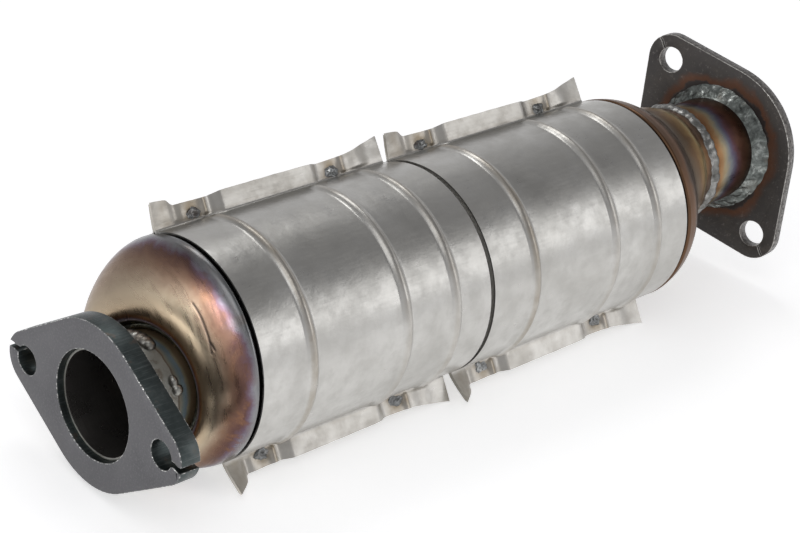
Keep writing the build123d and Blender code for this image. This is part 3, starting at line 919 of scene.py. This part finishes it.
def scratch_mark(distance, clock):
    """1 on the scratch and dying away beside it."""
    spot = Vector((distance, clock * SCRATCH_DEGREE))
    nearest = 9.0
    for line in SCRATCH:
        for start, stop in zip(line, line[1:]):
            a = Vector((start[0], start[1] * SCRATCH_DEGREE))
            b = Vector((stop[0], stop[1] * SCRATCH_DEGREE))
            share = max(0.0, min(1.0, (spot - a).dot(b - a) / (b - a).length_squared))
            nearest = min(nearest, (spot - a.lerp(b, share)).length)
    return bell(nearest, SCRATCH_WIDTH)


def dome_marks(value, clock):
    """What the dome's finish reads: place in the heat colours, copper patches, scratch, and a greyer,
    darker brown on its upper far side.
    """
    pull = 0.16 * bell(clock + 78.0, 42.0) * bell(value - 0.5, 0.28)
    patch = bell(clock + 100.0, 38.0) + 0.6 * bell(clock + 12.0, 26.0)
    return {
        "reach": (value - pull) / 1.25,
        "copper": min(1.0, patch) * bell(value - 0.42, 0.26),
        "scratch": scratch_mark(value * DOME_PROFILE, clock),
        "greyed_upper_far_side": 0.62 * bell(clock - 50.0, 50.0) * bell(value - 0.66, 0.36),
    }


def inlet_dome(finish):
    """Spun dome whose rings move from the body axis to the bore axis while they lean."""
    steps = 256
    rings = dome_rings()
    vertices = []
    marks = []
    for x, deep, radius, share, lean, value in rings:
        turned = leaning(lean)
        centre = Vector((x, AXIS_Y * (1 - share), AXIS_Z * (1 - share)))
        for j in range(steps):
            point = ring_point(centre, turned, deep, radius, 2 * math.pi * j / steps)
            vertices.append(point * MM)
            marks.append(dome_marks(value, math.degrees(math.atan2(point.y - AXIS_Y, point.z - AXIS_Z))))
    piece = mesh_object("inlet_dome_skin", vertices, grid_faces(len(rings), steps, True), 40.0)
    for name in marks[0]:
        mark(piece, name, [each[name] for each in marks])
    turn_out(piece)
    shade(piece.data, 40.0)
    finish_piece(piece, finish, "tinted_cone", "inlet_cone")


def inlet_tube(finish):
    """Straight tube with softly rounded ends about the bore axis."""
    inside = INLET_PIPE - INLET_PIPE_WALL
    soft = 0.35
    corner = soft * 0.3
    loop = []
    for x, way in zip(INLET_PIPE_ENDS, (1, -1)):
        ring = [
            (x + way * soft, inside), (x + way * corner, inside + corner), (x, inside + soft),
            (x, INLET_PIPE - soft), (x + way * corner, INLET_PIPE - corner), (x + way * soft, INLET_PIPE),
        ]
        loop += ring[::way]
    piece = ring_solid("inlet_tube", [(x, r, 0.0, 0.0) for x, r in loop], 144)
    places = [vertex.co / MM for vertex in piece.data.vertices]
    facing = leaning(MOUTH_LEAN) @ AHEAD
    mark(piece, "mouth", [(place - AHEAD * MOUTH_X).dot(facing) for place in places])
    mark(piece, "soot", [float(math.hypot(place.y, place.z) < inside + 0.2) for place in places])
    finish_piece(piece, finish, "pipe_steel", "inlet_pipe")


# Flange plates


def arc_points(centre, radius, start, stop, count):
    turns = np.linspace(start, stop, count)
    return [(centre + radius * math.cos(a), radius * math.sin(a)) for a in turns]


def lobe_outline(size, slit):
    """Half outline of a two-bolt plate round its +u lobe: end, slit, bolt hole, slit, end, disc."""
    offset = size["spacing"] / 2
    lobe = size["lobe"]
    touch = math.pi / 2 - math.asin((size["disc"] - lobe) / offset)
    low = slit["shift"] - slit["width"] / 2
    high = slit["shift"] + slit["width"] / 2
    hole_start = math.asin(low / BOLT_HOLE)
    hole_stop = math.asin(high / BOLT_HOLE) - 2 * math.pi
    steps = np.linspace(0.0, 1.0, 9)[1:-1]
    waves = [slit["wave"] * math.sin(math.pi * 1.7 * t) for t in steps]
    run_in = [(offset + lobe + (BOLT_HOLE - lobe) * t, w) for t, w in zip(steps, waves)]
    points = arc_points(offset, lobe, -touch, math.asin(low / lobe), 14)
    points += [(u, low + w) for u, w in run_in]
    points += arc_points(offset, BOLT_HOLE, hole_start, hole_stop, 44)
    points += [(u, high + w) for u, w in reversed(run_in)]
    points += arc_points(offset, lobe, math.asin(high / lobe), touch, 14)
    points += arc_points(0.0, size["disc"], touch, math.pi - touch, 40)
    return points


def plate_outline(size):
    """Whole outline of a two-bolt plate as (u, v) points. The second lobe is the first turned round."""
    first = lobe_outline(size, size["slits"][0])
    second = [(-u, -v) for u, v in lobe_outline(size, size["slits"][1])]
    clean = []
    for point in first + second:
        if not clean or math.dist(point, clean[-1]) > 0.05:
            clean.append(point)
    return clean[:-1] if math.dist(clean[0], clean[-1]) < 0.05 else clean


def inside_polygon(point, polygon):
    inside = False
    for i in range(len(polygon)):
        (x0, y0), (x1, y1) = polygon[i - 1], polygon[i]
        if (y0 > point.y) != (y1 > point.y):
            if point.x < (x1 - x0) * (point.y - y0) / (y1 - y0) + x0:
                inside = not inside
    return inside


def plate_face(size):
    """Points and triangles of a plate's face, and the edges round its outline and its bore."""
    outline = plate_outline(size)
    bore = arc_points(0.0, size["bore"], 0.0, 2 * math.pi, 145)[:-1]
    first = len(outline)
    edges = [(i, (i + 1) % first) for i in range(first)]
    edges += [(first + i, first + (i + 1) % len(bore)) for i in range(len(bore))]
    flat = [Vector(p) for p in outline + bore]
    points, _, triangles, *_ = delaunay_2d_cdt(flat, edges, [], 1, 1e-5)
    kept = []
    for triangle in triangles:
        middle = sum((points[i] for i in triangle), Vector((0.0, 0.0))) / 3
        if middle.length > size["bore"] * 0.9995 and inside_polygon(middle, outline):
            kept.append(tuple(triangle))
    return points, kept, edges


def flange_plate(name, node, size, axes, finishes):
    """Thick plate with worn bevels. The axes are its origin and its x, u and v directions, and
    the finishes are those of the faces, the walls and the bevels."""
    origin, out, along, across = axes
    points, triangles, edges = plate_face(size)
    count = len(points)
    vertices = []
    for depth in (0.0, size["thickness"]):
        for p in points:
            vertices.append((origin + out * depth + along * p.x + across * p.y) * MM)
    faces = triangles + [tuple(i + count for i in reversed(t)) for t in triangles]
    faces += [(a, b, b + count, a + count) for a, b in edges]
    piece = mesh_object(name, vertices, faces)
    turn_out(piece, merge=True)
    for finish in finishes:
        piece.data.materials.append(finish)
    for polygon in piece.data.polygons:
        polygon.material_index = 0 if abs(polygon.normal.dot(out)) > 0.9 else 1
    bevel = piece.modifiers.new("worn_edge", "BEVEL")
    bevel.width = size["worn"] * MM
    bevel.segments = 2
    bevel.limit_method = "ANGLE"
    bevel.angle_limit = math.radians(50)
    bevel.material = 2
    bevel.use_clamp_overlap = False
    apply_modifiers(piece)
    shade(piece.data, 32.0)
    places = [vertex.co / MM - origin for vertex in piece.data.vertices]
    mark(piece, "ring", [math.hypot(p.dot(along), p.dot(across)) for p in places])
    finish_piece(piece, finishes[0], name, node)


# Outlet end


def bend_place(turn):
    """Place on the pipe's middle line after this turn of the bend."""
    return NECK + AHEAD * BEND_RADIUS * math.sin(turn) + BEND_SIDE * BEND_RADIUS * (1 - math.cos(turn))


def bend_axes(turn):
    """Directions along the pipe, and out of it in the plane of the bend, after this turn."""
    out = AHEAD * math.cos(turn) + BEND_SIDE * math.sin(turn)
    up = BEND_SIDE * math.cos(turn) - AHEAD * math.sin(turn)
    return out, up


def bent_pipe(finish):
    """Outlet pipe: straight inside the cone, bent, then straight into the plate."""
    steps = 144
    out, _ = bend_axes(BEND_ANGLE)
    end = bend_place(BEND_ANGLE)
    stations = [(NECK + AHEAD * s, 0.0) for s in np.linspace(-OUTLET_PIPE_INSET, 0.0, 9)[:-1]]
    stations += [(bend_place(turn), turn) for turn in np.linspace(0.0, BEND_ANGLE, 30)]
    stub = np.linspace(0.0, OUTLET_STUB + OUTLET_PIPE_SEAT, 9)[1:]
    stations += [(end + out * s, BEND_ANGLE) for s in stub]
    loop = [(place, turn, OUTLET_PIPE) for place, turn in stations]
    loop += [(place, turn, OUTLET_PIPE - OUTLET_PIPE_WALL) for place, turn in reversed(stations)]
    vertices = []
    along = []
    for place, turn, radius in loop:
        _, up = bend_axes(turn)
        for j in range(steps):
            a = 2 * math.pi * j / steps
            point = place + up * radius * math.cos(a) + BEND_ACROSS * radius * math.sin(a)
            vertices.append(point * MM)
            along.append((place.x - NECK.x) / TINT_LENGTH if radius == OUTLET_PIPE else 1.1)
    piece = mesh_object("outlet_bent_pipe", vertices, grid_faces(len(loop), steps, True), 40.0)
    mark(piece, "along", along)
    turn_out(piece)
    shade(piece.data, 40.0)
    finish_piece(piece, finish, "tinted_pipe", "outlet_pipe")


def outlet_cone(finish):
    """Short eccentric cone from the shield to the pipe, with its collar and its skirt on the can."""
    start = BODY_END + 3.5
    collar = NECK.x - COLLAR
    shoulder = start + 9.0
    run = collar - shoulder
    end = OUTLET_PIPE + 0.1 + CONE_WALL
    places = (start, start + 5.4, shoulder + 0.07 * run, shoulder + 0.36 * run, collar - 0.18 * run, collar)
    radii = (SHELL, SHELL - 1.44, SHELL - 5.04, SHELL - 15.12, end + 3.6, end)
    shares = (0.0, 0.03, 0.12, 0.5, 0.88, 1.0)
    line = []
    for x in np.linspace(start, collar, 56):
        line.append((x, eased(x, places, radii), eased(x, places, shares)))
    rounded = []
    for k in range(1, 8):
        angle = math.radians(90) * k / 8
        rounded.append((start - SHOULDER * math.sin(angle), SHELL - SHOULDER * (1 - math.cos(angle)), 0.0))
    skirt = (
        (1.65, 54.6), (1.8, 53.9), (2.3, SKIRT_RADIUS), (SKIRT_LENGTH, SKIRT_RADIUS),
        (SKIRT_LENGTH, SKIRT_INSIDE), (1.8, SKIRT_INSIDE), (0.3, SHELL - CONE_WALL),
    )
    loop = line[::-1] + rounded + [(start - dx, radius, 0.0) for dx, radius in skirt]
    loop += [(x, radius - CONE_WALL, share) for x, radius, share in line[2:]]
    loop += [(NECK.x, end - CONE_WALL, 1.0), (NECK.x, end, 1.0)]
    dy = NECK.y - AXIS_Y
    dz = NECK.z - AXIS_Z
    stations = [(x, radius, AXIS_Y + dy * share, AXIS_Z + dz * share) for x, radius, share in loop]
    piece = ring_solid("outlet_cone_skin", stations, 192)
    mark(piece, "along", [(v.co.x / MM - start) / (NECK.x - start) for v in piece.data.vertices])
    finish_piece(piece, finish, "outlet_tint", "outlet_cone")


# Repeated detail made with geometry nodes


def new_tree(name, floats, whole_numbers, vectors=("Place",)):
    """Empty geometry tree with these named inputs, and one for the material."""
    tree = bpy.data.node_groups.new(name, "GeometryNodeTree")
    kinds = {"Float": floats, "Int": whole_numbers, "Vector": vectors, "Material": ("Material",)}
    for kind, labels in kinds.items():
        for label in labels:
            tree.interface.new_socket(name=label, in_out="INPUT", socket_type=f"NodeSocket{kind}")
    tree.interface.new_socket(name="Geometry", in_out="OUTPUT", socket_type="NodeSocketGeometry")
    return tree


class Steps:
    """Short calls that add and join the nodes of one geometry tree."""

    def __init__(self, tree):
        self.tree = tree
        self.entry = tree.nodes.new("NodeGroupInput").outputs

    def add(self, kind, values=None, **settings):
        made = self.tree.nodes.new(kind)
        for key, value in settings.items():
            setattr(made, key, value)
        for key, value in (values or {}).items():
            socket = made.inputs[key]
            if isinstance(value, bpy.types.NodeSocket):
                self.tree.links.new(value, socket)
            else:
                socket.default_value = value
        return made

    def sum(self, operation, a, b=0.0):
        """One step of arithmetic."""
        return self.add("ShaderNodeMath", {0: a, 1: b}, operation=operation).outputs[0]

    def joined(self, **parts):
        """Vector from its X, Y and Z."""
        return self.add("ShaderNodeCombineXYZ", parts).outputs[0]

    def chance(self, low, high, salt):
        """Random value for each point, from the tree's seed."""
        seed = self.sum("ADD", self.entry["Seed"], salt)
        made = self.add("FunctionNodeRandomValue", {"Seed": seed}, data_type="FLOAT")
        floats = [s for s in made.inputs if s.type == "VALUE"]
        floats[0].default_value = low
        floats[1].default_value = high
        return made.outputs[1]

    def both(self, first, second):
        made = self.add("GeometryNodeJoinGeometry")
        self.tree.links.new(first, made.inputs[0])
        self.tree.links.new(second, made.inputs[0])
        return made.outputs[0]

    def moved(self, geometry, **values):
        return self.add("GeometryNodeTransform", {"Geometry": geometry, **values}).outputs[0]

    def end(self, geometry, smooth=True):
        real = self.add("GeometryNodeRealizeInstances", {"Geometry": geometry}).outputs[0]
        if smooth:
            real = self.add("GeometryNodeSetShadeSmooth", {"Geometry": real}).outputs[0]
        values = {"Geometry": real, "Material": self.entry["Material"]}
        painted = self.add("GeometryNodeSetMaterial", values).outputs[0]
        exit_node = self.tree.nodes.new("NodeGroupOutput")
        self.tree.links.new(painted, exit_node.inputs["Geometry"])


def bead_tree():
    """Weld bead on a ring about X: overlapping drops along a circle over a plain core."""
    floats = ("Ring Radius", "Along", "Across", "Height", "Lean", "Unevenness", "Wander")
    tree = new_tree("weld_bead", floats, ("Drops", "Seed"), ("Place", "Turn"))
    s = Steps(tree)
    entry = s.entry
    circle = s.add("GeometryNodeCurvePrimitiveCircle", {"Resolution": 96, "Radius": entry["Ring Radius"]})
    path = circle.outputs["Curve"]
    line = s.add("GeometryNodeResampleCurve", {"Curve": path, "Count": entry["Drops"]}, mode="COUNT")
    tangent = s.add("GeometryNodeInputTangent").outputs[0]
    align = s.add("FunctionNodeAlignEulerToVector", {"Vector": tangent}, axis="X", pivot_axis="Z")
    turns = {"Rotation": align.outputs[0], "Rotate By": s.joined(X=entry["Lean"])}
    leaned = s.add("FunctionNodeRotateEuler", turns, space="LOCAL")
    drop = s.add("GeometryNodeMeshIcoSphere", {"Radius": 1.0, "Subdivisions": 3})
    swell = s.sum("MULTIPLY", s.sum("SUBTRACT", s.chance(0.8, 1.25, 1), 1.0), entry["Unevenness"])
    swell = s.sum("ADD", swell, 1.0)
    taller = s.sum("MULTIPLY", s.chance(-1.0, 1.0, 2), s.sum("MULTIPLY", entry["Unevenness"], 0.3))
    taller = s.sum("ADD", taller, 1.0)
    size = s.joined(
        X=s.sum("MULTIPLY", entry["Along"], swell),
        Y=s.sum("MULTIPLY", entry["Height"], taller),
        Z=s.sum("MULTIPLY", entry["Across"], swell),
    )
    drift = s.joined(Z=s.sum("MULTIPLY", s.chance(-1.0, 1.0, 3), entry["Wander"]))
    moved = s.add("GeometryNodeSetPosition", {"Geometry": line.outputs["Curve"], "Offset": drift})
    drops = s.add("GeometryNodeInstanceOnPoints", {
        "Points": moved.outputs[0], "Instance": drop.outputs["Mesh"],
        "Rotation": leaned.outputs[0], "Scale": size,
    })
    core_radius = s.sum("MULTIPLY", entry["Height"], 0.8)
    rim = s.add("GeometryNodeCurvePrimitiveCircle", {"Resolution": 16, "Radius": core_radius})
    core = s.add("GeometryNodeCurveToMesh", {"Curve": path, "Profile Curve": rim.outputs["Curve"]})
    upright = s.moved(s.both(drops.outputs[0], core.outputs[0]), Rotation=(0.0, math.pi / 2, 0.0))
    s.end(s.moved(upright, Translation=entry["Place"], Rotation=entry["Turn"]))
    return tree


def honeycomb_tree():
    """Open square cells of a honeycomb face, laid on a disc that looks along X."""
    tree = new_tree("honeycomb_face", ("Radius", "Pitch", "Wall", "Depth"), ("Cells",))
    s = Steps(tree)
    entry = s.entry
    span = s.sum("MULTIPLY", entry["Pitch"], entry["Cells"])
    line = s.add("GeometryNodeMeshLine", {
        "Count": entry["Cells"], "Offset": s.joined(Y=entry["Pitch"]),
        "Start Location": s.joined(Y=s.sum("MULTIPLY", span, -0.5)),
    }, mode="OFFSET")
    place = s.add("GeometryNodeInputPosition").outputs[0]
    across = s.add("ShaderNodeSeparateXYZ", {"Vector": place}).outputs["Y"]
    radius_squared = s.sum("MULTIPLY", entry["Radius"], entry["Radius"])
    squared = s.sum("SUBTRACT", radius_squared, s.sum("MULTIPLY", across, across))
    length = s.sum("MULTIPLY", s.sum("SQRT", s.sum("MAXIMUM", squared, 0.0)), 2.0)
    wall = s.add("GeometryNodeMeshCube", {"Size": (1.0, 1.0, 1.0)})
    walls = s.add("GeometryNodeInstanceOnPoints", {
        "Points": line.outputs[0], "Instance": wall.outputs["Mesh"],
        "Scale": s.joined(X=entry["Depth"], Y=entry["Wall"], Z=length),
    }).outputs[0]
    crossed = s.moved(walls, Rotation=(math.pi / 2, 0.0, 0.0))
    s.end(s.moved(s.both(walls, crossed), Translation=entry["Place"]), smooth=False)
    return tree


def spatter_tree():
    """Spatter: small round drops scattered on a ring about X."""
    floats = ("Ring Radius", "Smallest", "Largest", "Spread")
    tree = new_tree("weld_spatter", floats, ("Drops", "Seed"))
    s = Steps(tree)
    entry = s.entry
    line = s.add("GeometryNodeMeshLine", {"Count": entry["Drops"]}, mode="OFFSET")
    turn = s.chance(0.0, 2 * math.pi, 1)
    spot = s.joined(
        X=s.sum("MULTIPLY", s.chance(-1.0, 1.0, 2), entry["Spread"]),
        Y=s.sum("MULTIPLY", s.sum("SINE", turn), entry["Ring Radius"]),
        Z=s.sum("MULTIPLY", s.sum("COSINE", turn), entry["Ring Radius"]),
    )
    points = s.add("GeometryNodeSetPosition", {"Geometry": line.outputs[0], "Position": spot})
    spread = s.sum("SUBTRACT", entry["Largest"], entry["Smallest"])
    small = s.sum("POWER", s.chance(0.0, 1.0, 3), 2.5)
    size = s.sum("ADD", entry["Smallest"], s.sum("MULTIPLY", small, spread))
    drop = s.add("GeometryNodeMeshIcoSphere", {"Radius": 1.0, "Subdivisions": 3})
    drops = s.add("GeometryNodeInstanceOnPoints", {
        "Points": points.outputs[0], "Instance": drop.outputs["Mesh"], "Scale": size,
    }).outputs[0]
    s.end(s.moved(drops, Translation=entry["Place"]))
    return tree


def grow(name, tree, values, voxel=None):
    """Run a geometry tree with these inputs and keep its result, fused if it has a voxel."""
    piece = add_object(name, bpy.data.meshes.new(name))
    modifier = piece.modifiers.new("nodes", "NODES")
    modifier.node_group = tree
    for item in tree.interface.items_tree:
        if item.in_out == "INPUT" and item.name in values:
            modifier[item.identifier] = values[item.name]
    if voxel:
        add_skin(piece, voxel)
    apply_modifiers(piece)
    if voxel:
        piece.data.materials.clear()
    return piece


# Welds

BEAD_TREE = bead_tree()


def clear_of_pipe(piece, centre, radius):
    """Press a bead about X onto the outside of its pipe: no point of it lies nearer the axis."""
    for vertex in piece.data.vertices:
        y = vertex.co.y / MM - centre[0]
        z = vertex.co.z / MM - centre[1]
        size = math.hypot(y, z)
        if size < radius + PRESSED_ON:
            vertex.co.y = (centre[0] + y * (radius + PRESSED_ON) / size) * MM
            vertex.co.z = (centre[1] + z * (radius + PRESSED_ON) / size) * MM
    shade(piece.data, 60.0)


def ring_bead(name, node, size, place, turn=(0.0, 0.0, 0.0)):
    """Bead of fused drops about a pipe, at a place in metres."""
    metal = WELD_METALS[size["metal"]]
    values = {
        "Ring Radius": size["ring"] * MM,
        "Drops": size["drops"],
        "Along": size["along"] * MM,
        "Across": size["across"] * MM,
        "Height": size["height"] * MM,
        "Lean": size["lean"],
        "Unevenness": size["uneven"],
        "Wander": size["wander"] * MM,
        "Seed": size["seed"],
        "Place": place,
        "Turn": turn,
        "Material": metal,
    }
    piece = grow(name, BEAD_TREE, values, size["voxel"])
    clear_of_pipe(piece, size["centre"], size["pipe"])
    finish_piece(piece, metal, "weld_metal", node)


def drop_run(name, spots, finish):
    """Solid drops that run into each other on the outside of the inlet pipe."""
    work = bmesh.new()
    for x, clock, along, around, height in spots:
        made = bmesh.ops.create_icosphere(work, subdivisions=4, radius=1.0)
        for vertex in made["verts"]:
            d = vertex.co.copy()
            out = INLET_PIPE + height * d.z
            angle = math.radians(clock) + around * d.y / INLET_PIPE
            vertex.co = Vector((x + along * d.x, out * math.sin(angle), out * math.cos(angle))) * MM
    piece = object_from(work, name)
    add_skin(piece, 0.28)
    apply_modifiers(piece)
    clear_of_pipe(piece, (0.0, 0.0), INLET_PIPE)
    piece.data.materials.clear()
    finish_piece(piece, finish, "weld_metal")


def fillet_swell(share, turn):
    """How far the fillet's face stands out, at this share of the way from the pipe to the plate."""
    if share <= 0:
        return 0.0
    beats = turn * FILLET_RIPPLES / (2 * math.pi)
    if share >= 1:
        slow = noise.noise(Vector((math.cos(turn) * 1.3, math.sin(turn) * 1.3, FILLET_SEED + 4.0)))
        return 0.55 * math.sin(math.pi * ((beats + 0.27) % 1.0) ** 0.7) + 1.5 * slow - 0.5
    drift = 0.25 * noise.noise(Vector((math.cos(turn) * 2, math.sin(turn) * 2, FILLET_SEED)))
    phase = (beats + 1.1 * (share - 0.5) ** 2 + drift) % 1.0
    across = OUTLET_PIPE * 0.35
    spot = Vector((math.cos(turn) * across, math.sin(turn) * across, share * 3 + FILLET_SEED))
    hammer = noise.noise(spot) + 0.5 * noise.noise(spot * 2.3)
    scallop = math.sin(math.pi * phase**0.7)
    return math.sin(math.pi * share) ** 0.6 * (0.75 * scallop + 0.65 * hammer - 0.15)


def outlet_fillet(place, finish):
    """Fillet in the corner of the outlet pipe and its plate, its face laid in overlapping scallops."""
    count = 15
    root = OUTLET_PIPE + PRESSED_ON
    loop = [(-FILLET_LEG, root, 0.0, 0.0)]
    for t in np.linspace(0.0, 1.0, count):
        radius = OUTLET_PIPE + FILLET_LEG * t**1.15 * 0.93
        loop.append((-FILLET_LEG * (1 - t) ** 1.15, radius, 0.0, 0.0))
    loop.append((0.0, root, 0.0, 0.0))

    def swell(index, turn):
        return fillet_swell((index - 1) / (count - 1), turn)

    piece = ring_solid("outlet_flange_fillet", loop, 420, place, 55.0, swell)
    finish_piece(piece, finish, "weld_metal", "outlet_flange_weld")


# The pieces

shield_metal = shield_finish()
for section in SECTION_STARTS:
    for side in (1, -1):
        shield(section, side, shield_metal)
    for label in ("upper", "lower"):
        seam_nuggets(section, label, WELD_METALS["nugget_metal"])

inlet_dome(dome_finish())
inlet_tube(pipe_end_finish())

inlet_turn = math.radians(INLET_PLATE["clock"])
inlet_axes = (
    Vector((0.0, 0.0, 0.0)),
    AHEAD,
    Vector((0.0, math.sin(inlet_turn), math.cos(inlet_turn))),
    Vector((0.0, -math.cos(inlet_turn), math.sin(inlet_turn))),
)
inlet_finishes = (
    plate_face_finish(),
    plate_wall_finish(),
    # Bevels of the inlet plate: worn nicks, lightened to near white as a painted highlight line along the
    # edge.
    worn_edge_finish("worn_plate_edge_painted_highlight", (0.10, 0.105, 0.105), (0.88, 0.87, 0.85), 0.49, 0.64, 0.35),
)
flange_plate("inlet_plate", "inlet_flange", INLET_PLATE, inlet_axes, inlet_finishes)

out, up = bend_axes(BEND_ANGLE)
near_face = bend_place(BEND_ANGLE) + out * OUTLET_STUB
plate_turn = math.radians(OUTLET_PLATE["clock"]) - BEND_CLOCK
bolt_line = BEND_ACROSS * math.sin(plate_turn) + up * math.cos(plate_turn)
outlet_axes = (near_face, out, bolt_line, out.cross(bolt_line))
outlet_finishes = (
    mill_scale_finish(),
    worn_edge_finish("cut_scale_wall", (0.05, 0.045, 0.042), (0.30, 0.28, 0.26), 0.40, 0.75),
    worn_edge_finish("nicked_plate_edge", (0.16, 0.15, 0.14), (0.62, 0.60, 0.57), 0.38, 0.66),
)
flange_plate("outlet_plate", "outlet_flange", OUTLET_PLATE, outlet_axes, outlet_finishes)

outlet_cone(tinted_cone_finish())
bent_pipe(tinted_pipe_finish())

# Ring beads: round the outlet neck, behind the inlet plate and in the groove of the mouth
neck_place = tuple(NECK * MM + Vector((0.6 * MM, 0, 0)))
ring_bead("outlet_neck_bead", "outlet_neck_weld", NECK_BEAD, neck_place)
ring_bead("inlet_flange_bead", "inlet_flange_weld", FLANGE_BEAD, (12.6 * MM, 0.0, 0.0))
mouth_turn = leaning(MOUTH_LEAN)
groove_place = tuple((AHEAD * MOUTH_X + mouth_turn @ (AHEAD * (GROOVE_DEPTH - 1.0))) * MM)
groove_turn = tuple(mouth_turn.to_euler())
ring_bead("inlet_groove_bead", "inlet_neck_weld", GROOVE_BEAD, groove_place, groove_turn)

# Spatter on the inlet pipe, the end of a bead on top of it and one large drop on its near side
inlet_metal = WELD_METALS["inlet_bead_metal"]
loose_drops = grow("inlet_pipe_spatter", spatter_tree(), {
    "Ring Radius": INLET_PIPE * MM,
    "Drops": 26,
    "Smallest": 0.35 * MM,
    "Largest": 1.1 * MM,
    "Spread": 5.0 * MM,
    "Seed": 8,
    "Place": (20.0 * MM, 0.0, 0.0),
    "Material": inlet_metal,
})
finish_piece(loose_drops, inlet_metal, "weld_metal")
drop_run("inlet_bead_end", BEAD_END, inlet_metal)
drop_run("inlet_pipe_large_drop", LARGE_DROP, inlet_metal)

outlet_place = Matrix((out, BEND_ACROSS, up)).transposed().to_4x4()
outlet_place.translation = near_face
outlet_fillet(outlet_place, WELD_METALS["fillet_bead_metal"])

# Open cells on the two brick faces that show through the pipes
cell_ceramic = ceramic_finish("cell_ceramic")
honeycomb = honeycomb_tree()
for section, outwards in (("front", -0.35), ("rear", 0.35)):
    cells = grow(f"{section}_brick_cells", honeycomb, {
        "Radius": 46.0 * MM,
        "Pitch": 1.6 * MM,
        "Wall": 0.3 * MM,
        "Depth": 0.8 * MM,
        "Cells": 58,
        "Place": ((BRICK_FACES[section] + outwards) * MM, AXIS_Y * MM, AXIS_Z * MM),
        "Material": cell_ceramic,
    })
    finish_piece(cells, cell_ceramic, "brick_ceramic")

# Parts of the model that stay as they are
mat = fibre_finish("mat_fibre", (0.30, 0.26, 0.20), (0.48, 0.43, 0.35))
blanket = fibre_finish("blanket_fibre", (0.50, 0.48, 0.44), (0.68, 0.66, 0.62))
stays = {
    # The can is painted near black as the shade in the gaps between the shields and the cones.
    "converter_can": (can_shade_steel_finish(), "can_steel"),
    "inlet_can_weld": (WELD_METALS["lap_bead_metal"], "weld_metal"),
    "outlet_can_weld": (WELD_METALS["lap_bead_metal"], "weld_metal"),
}
for section in SECTION_STARTS:
    brick = f"{section}_brick"
    places = [vertex.co.x for vertex in NODES[brick].data.vertices]
    # The brick's end faces get painted shade for their open cells.
    stays[brick] = (ceramic_finish(f"{brick}_ceramic", (min(places), max(places))), "brick_ceramic")
    stays[f"{section}_mat"] = (mat, "mat_fibre")
    stays[f"{section}_insulation"] = (blanket, "blanket_fibre")
for name, (material, slot_name) in stays.items():
    NODES[name].data.materials.clear()
    NODES[name].data.materials.append(material)


# Floor, light and camera


def floor_finish():
    """Pale floor that keeps the shadow, lifted towards white for camera, glossy and transmission rays."""
    f = Finish("pale_floor")
    tone = f.clouds(3.0, 3.0)
    colour = f.shades(tone, (0.3, (0.86, 0.86, 0.865)), (0.7, (0.88, 0.88, 0.885)))
    rays = f.node("ShaderNodeLightPath").outputs
    seen = f.sum("MAXIMUM", rays["Is Glossy Ray"], rays["Is Transmission Ray"])
    seen = f.sum("MAXIMUM", rays["Is Camera Ray"], seen)
    glow = f.sum("MULTIPLY", seen, 0.5)
    return f.wear(Base_Color=colour, Roughness=0.9, Emission_Color=(1.0, 1.0, 1.0), Emission_Strength=glow)


def studio_floor():
    mesh = bpy.data.meshes.new("floor")
    corners = [(-1, -1), (1, -1), (1, 1), (-1, 1)]
    mesh.from_pydata([(x * FLOOR_REACH, y * FLOOR_REACH, FLOOR_Z) for x, y in corners], [], [(0, 1, 2, 3)])
    mesh.materials.append(floor_finish())
    add_object("floor", mesh)


def soft_lamp(name, direction, distance, size, power):
    lamp = bpy.data.lights.new(name, "AREA")
    lamp.shape = "RECTANGLE"
    lamp.size, lamp.size_y = size
    lamp.energy = power
    holder = add_object(name, lamp)
    way = Vector(direction).normalized()
    holder.location = LAMP_TARGET + way * distance
    holder.rotation_euler = way.to_track_quat("Z", "Y").to_euler()


def studio_world():
    """Soft sky for the metal to mirror: pale at the horizon, darker above."""
    world = bpy.data.worlds.new("studio")
    world.use_nodes = True
    tree = world.node_tree
    tree.nodes.clear()
    where = tree.nodes.new("ShaderNodeTexCoord")
    split = tree.nodes.new("ShaderNodeSeparateXYZ")
    band = tree.nodes.new("ShaderNodeValToRGB")
    stops = ((0.0, 0.62), (0.10, 0.80), (0.42, 0.52), (0.62, 0.28), (0.80, 0.26), (1.0, 0.36))
    while len(band.color_ramp.elements) < len(stops):
        band.color_ramp.elements.new(0.5)
    for element, (place, level) in zip(band.color_ramp.elements, stops):
        element.position = place
        element.color = (level, level, level * 1.02, 1.0)
    sky = tree.nodes.new("ShaderNodeBackground")
    end = tree.nodes.new("ShaderNodeOutputWorld")
    tree.links.new(where.outputs["Generated"], split.inputs[0])
    tree.links.new(split.outputs["Z"], band.inputs["Fac"])
    tree.links.new(band.outputs["Color"], sky.inputs["Color"])
    tree.links.new(sky.outputs[0], end.inputs["Surface"])
    bpy.context.scene.world = world


def photo_camera():
    data = bpy.data.cameras.new("camera")
    data.lens = CAMERA_LENS
    data.sensor_width = CAMERA_SENSOR
    camera = add_object("camera", data)
    camera.matrix_world = Matrix.Translation(CAMERA_PLACE) @ CAMERA_AXES.transposed().to_4x4()
    bpy.context.scene.camera = camera


studio_floor()
soft_lamp("key_light", (0.59, -0.70, 0.40), 1.25, (0.80, 0.60), 1.5)
soft_lamp("fill_light", (-0.55, -0.35, 0.85), 1.3, (0.8, 0.8), 2.2)
soft_lamp("top_light", (0.2, 0.55, 0.9), 1.3, (0.7, 0.5), 2.8)
soft_lamp("low_side_light", (-0.99, 0.02, 0.15), 1.0, (0.22, 0.20), 1.7)
studio_world()
photo_camera()
bpy.context.scene.view_settings.view_transform = "Standard"
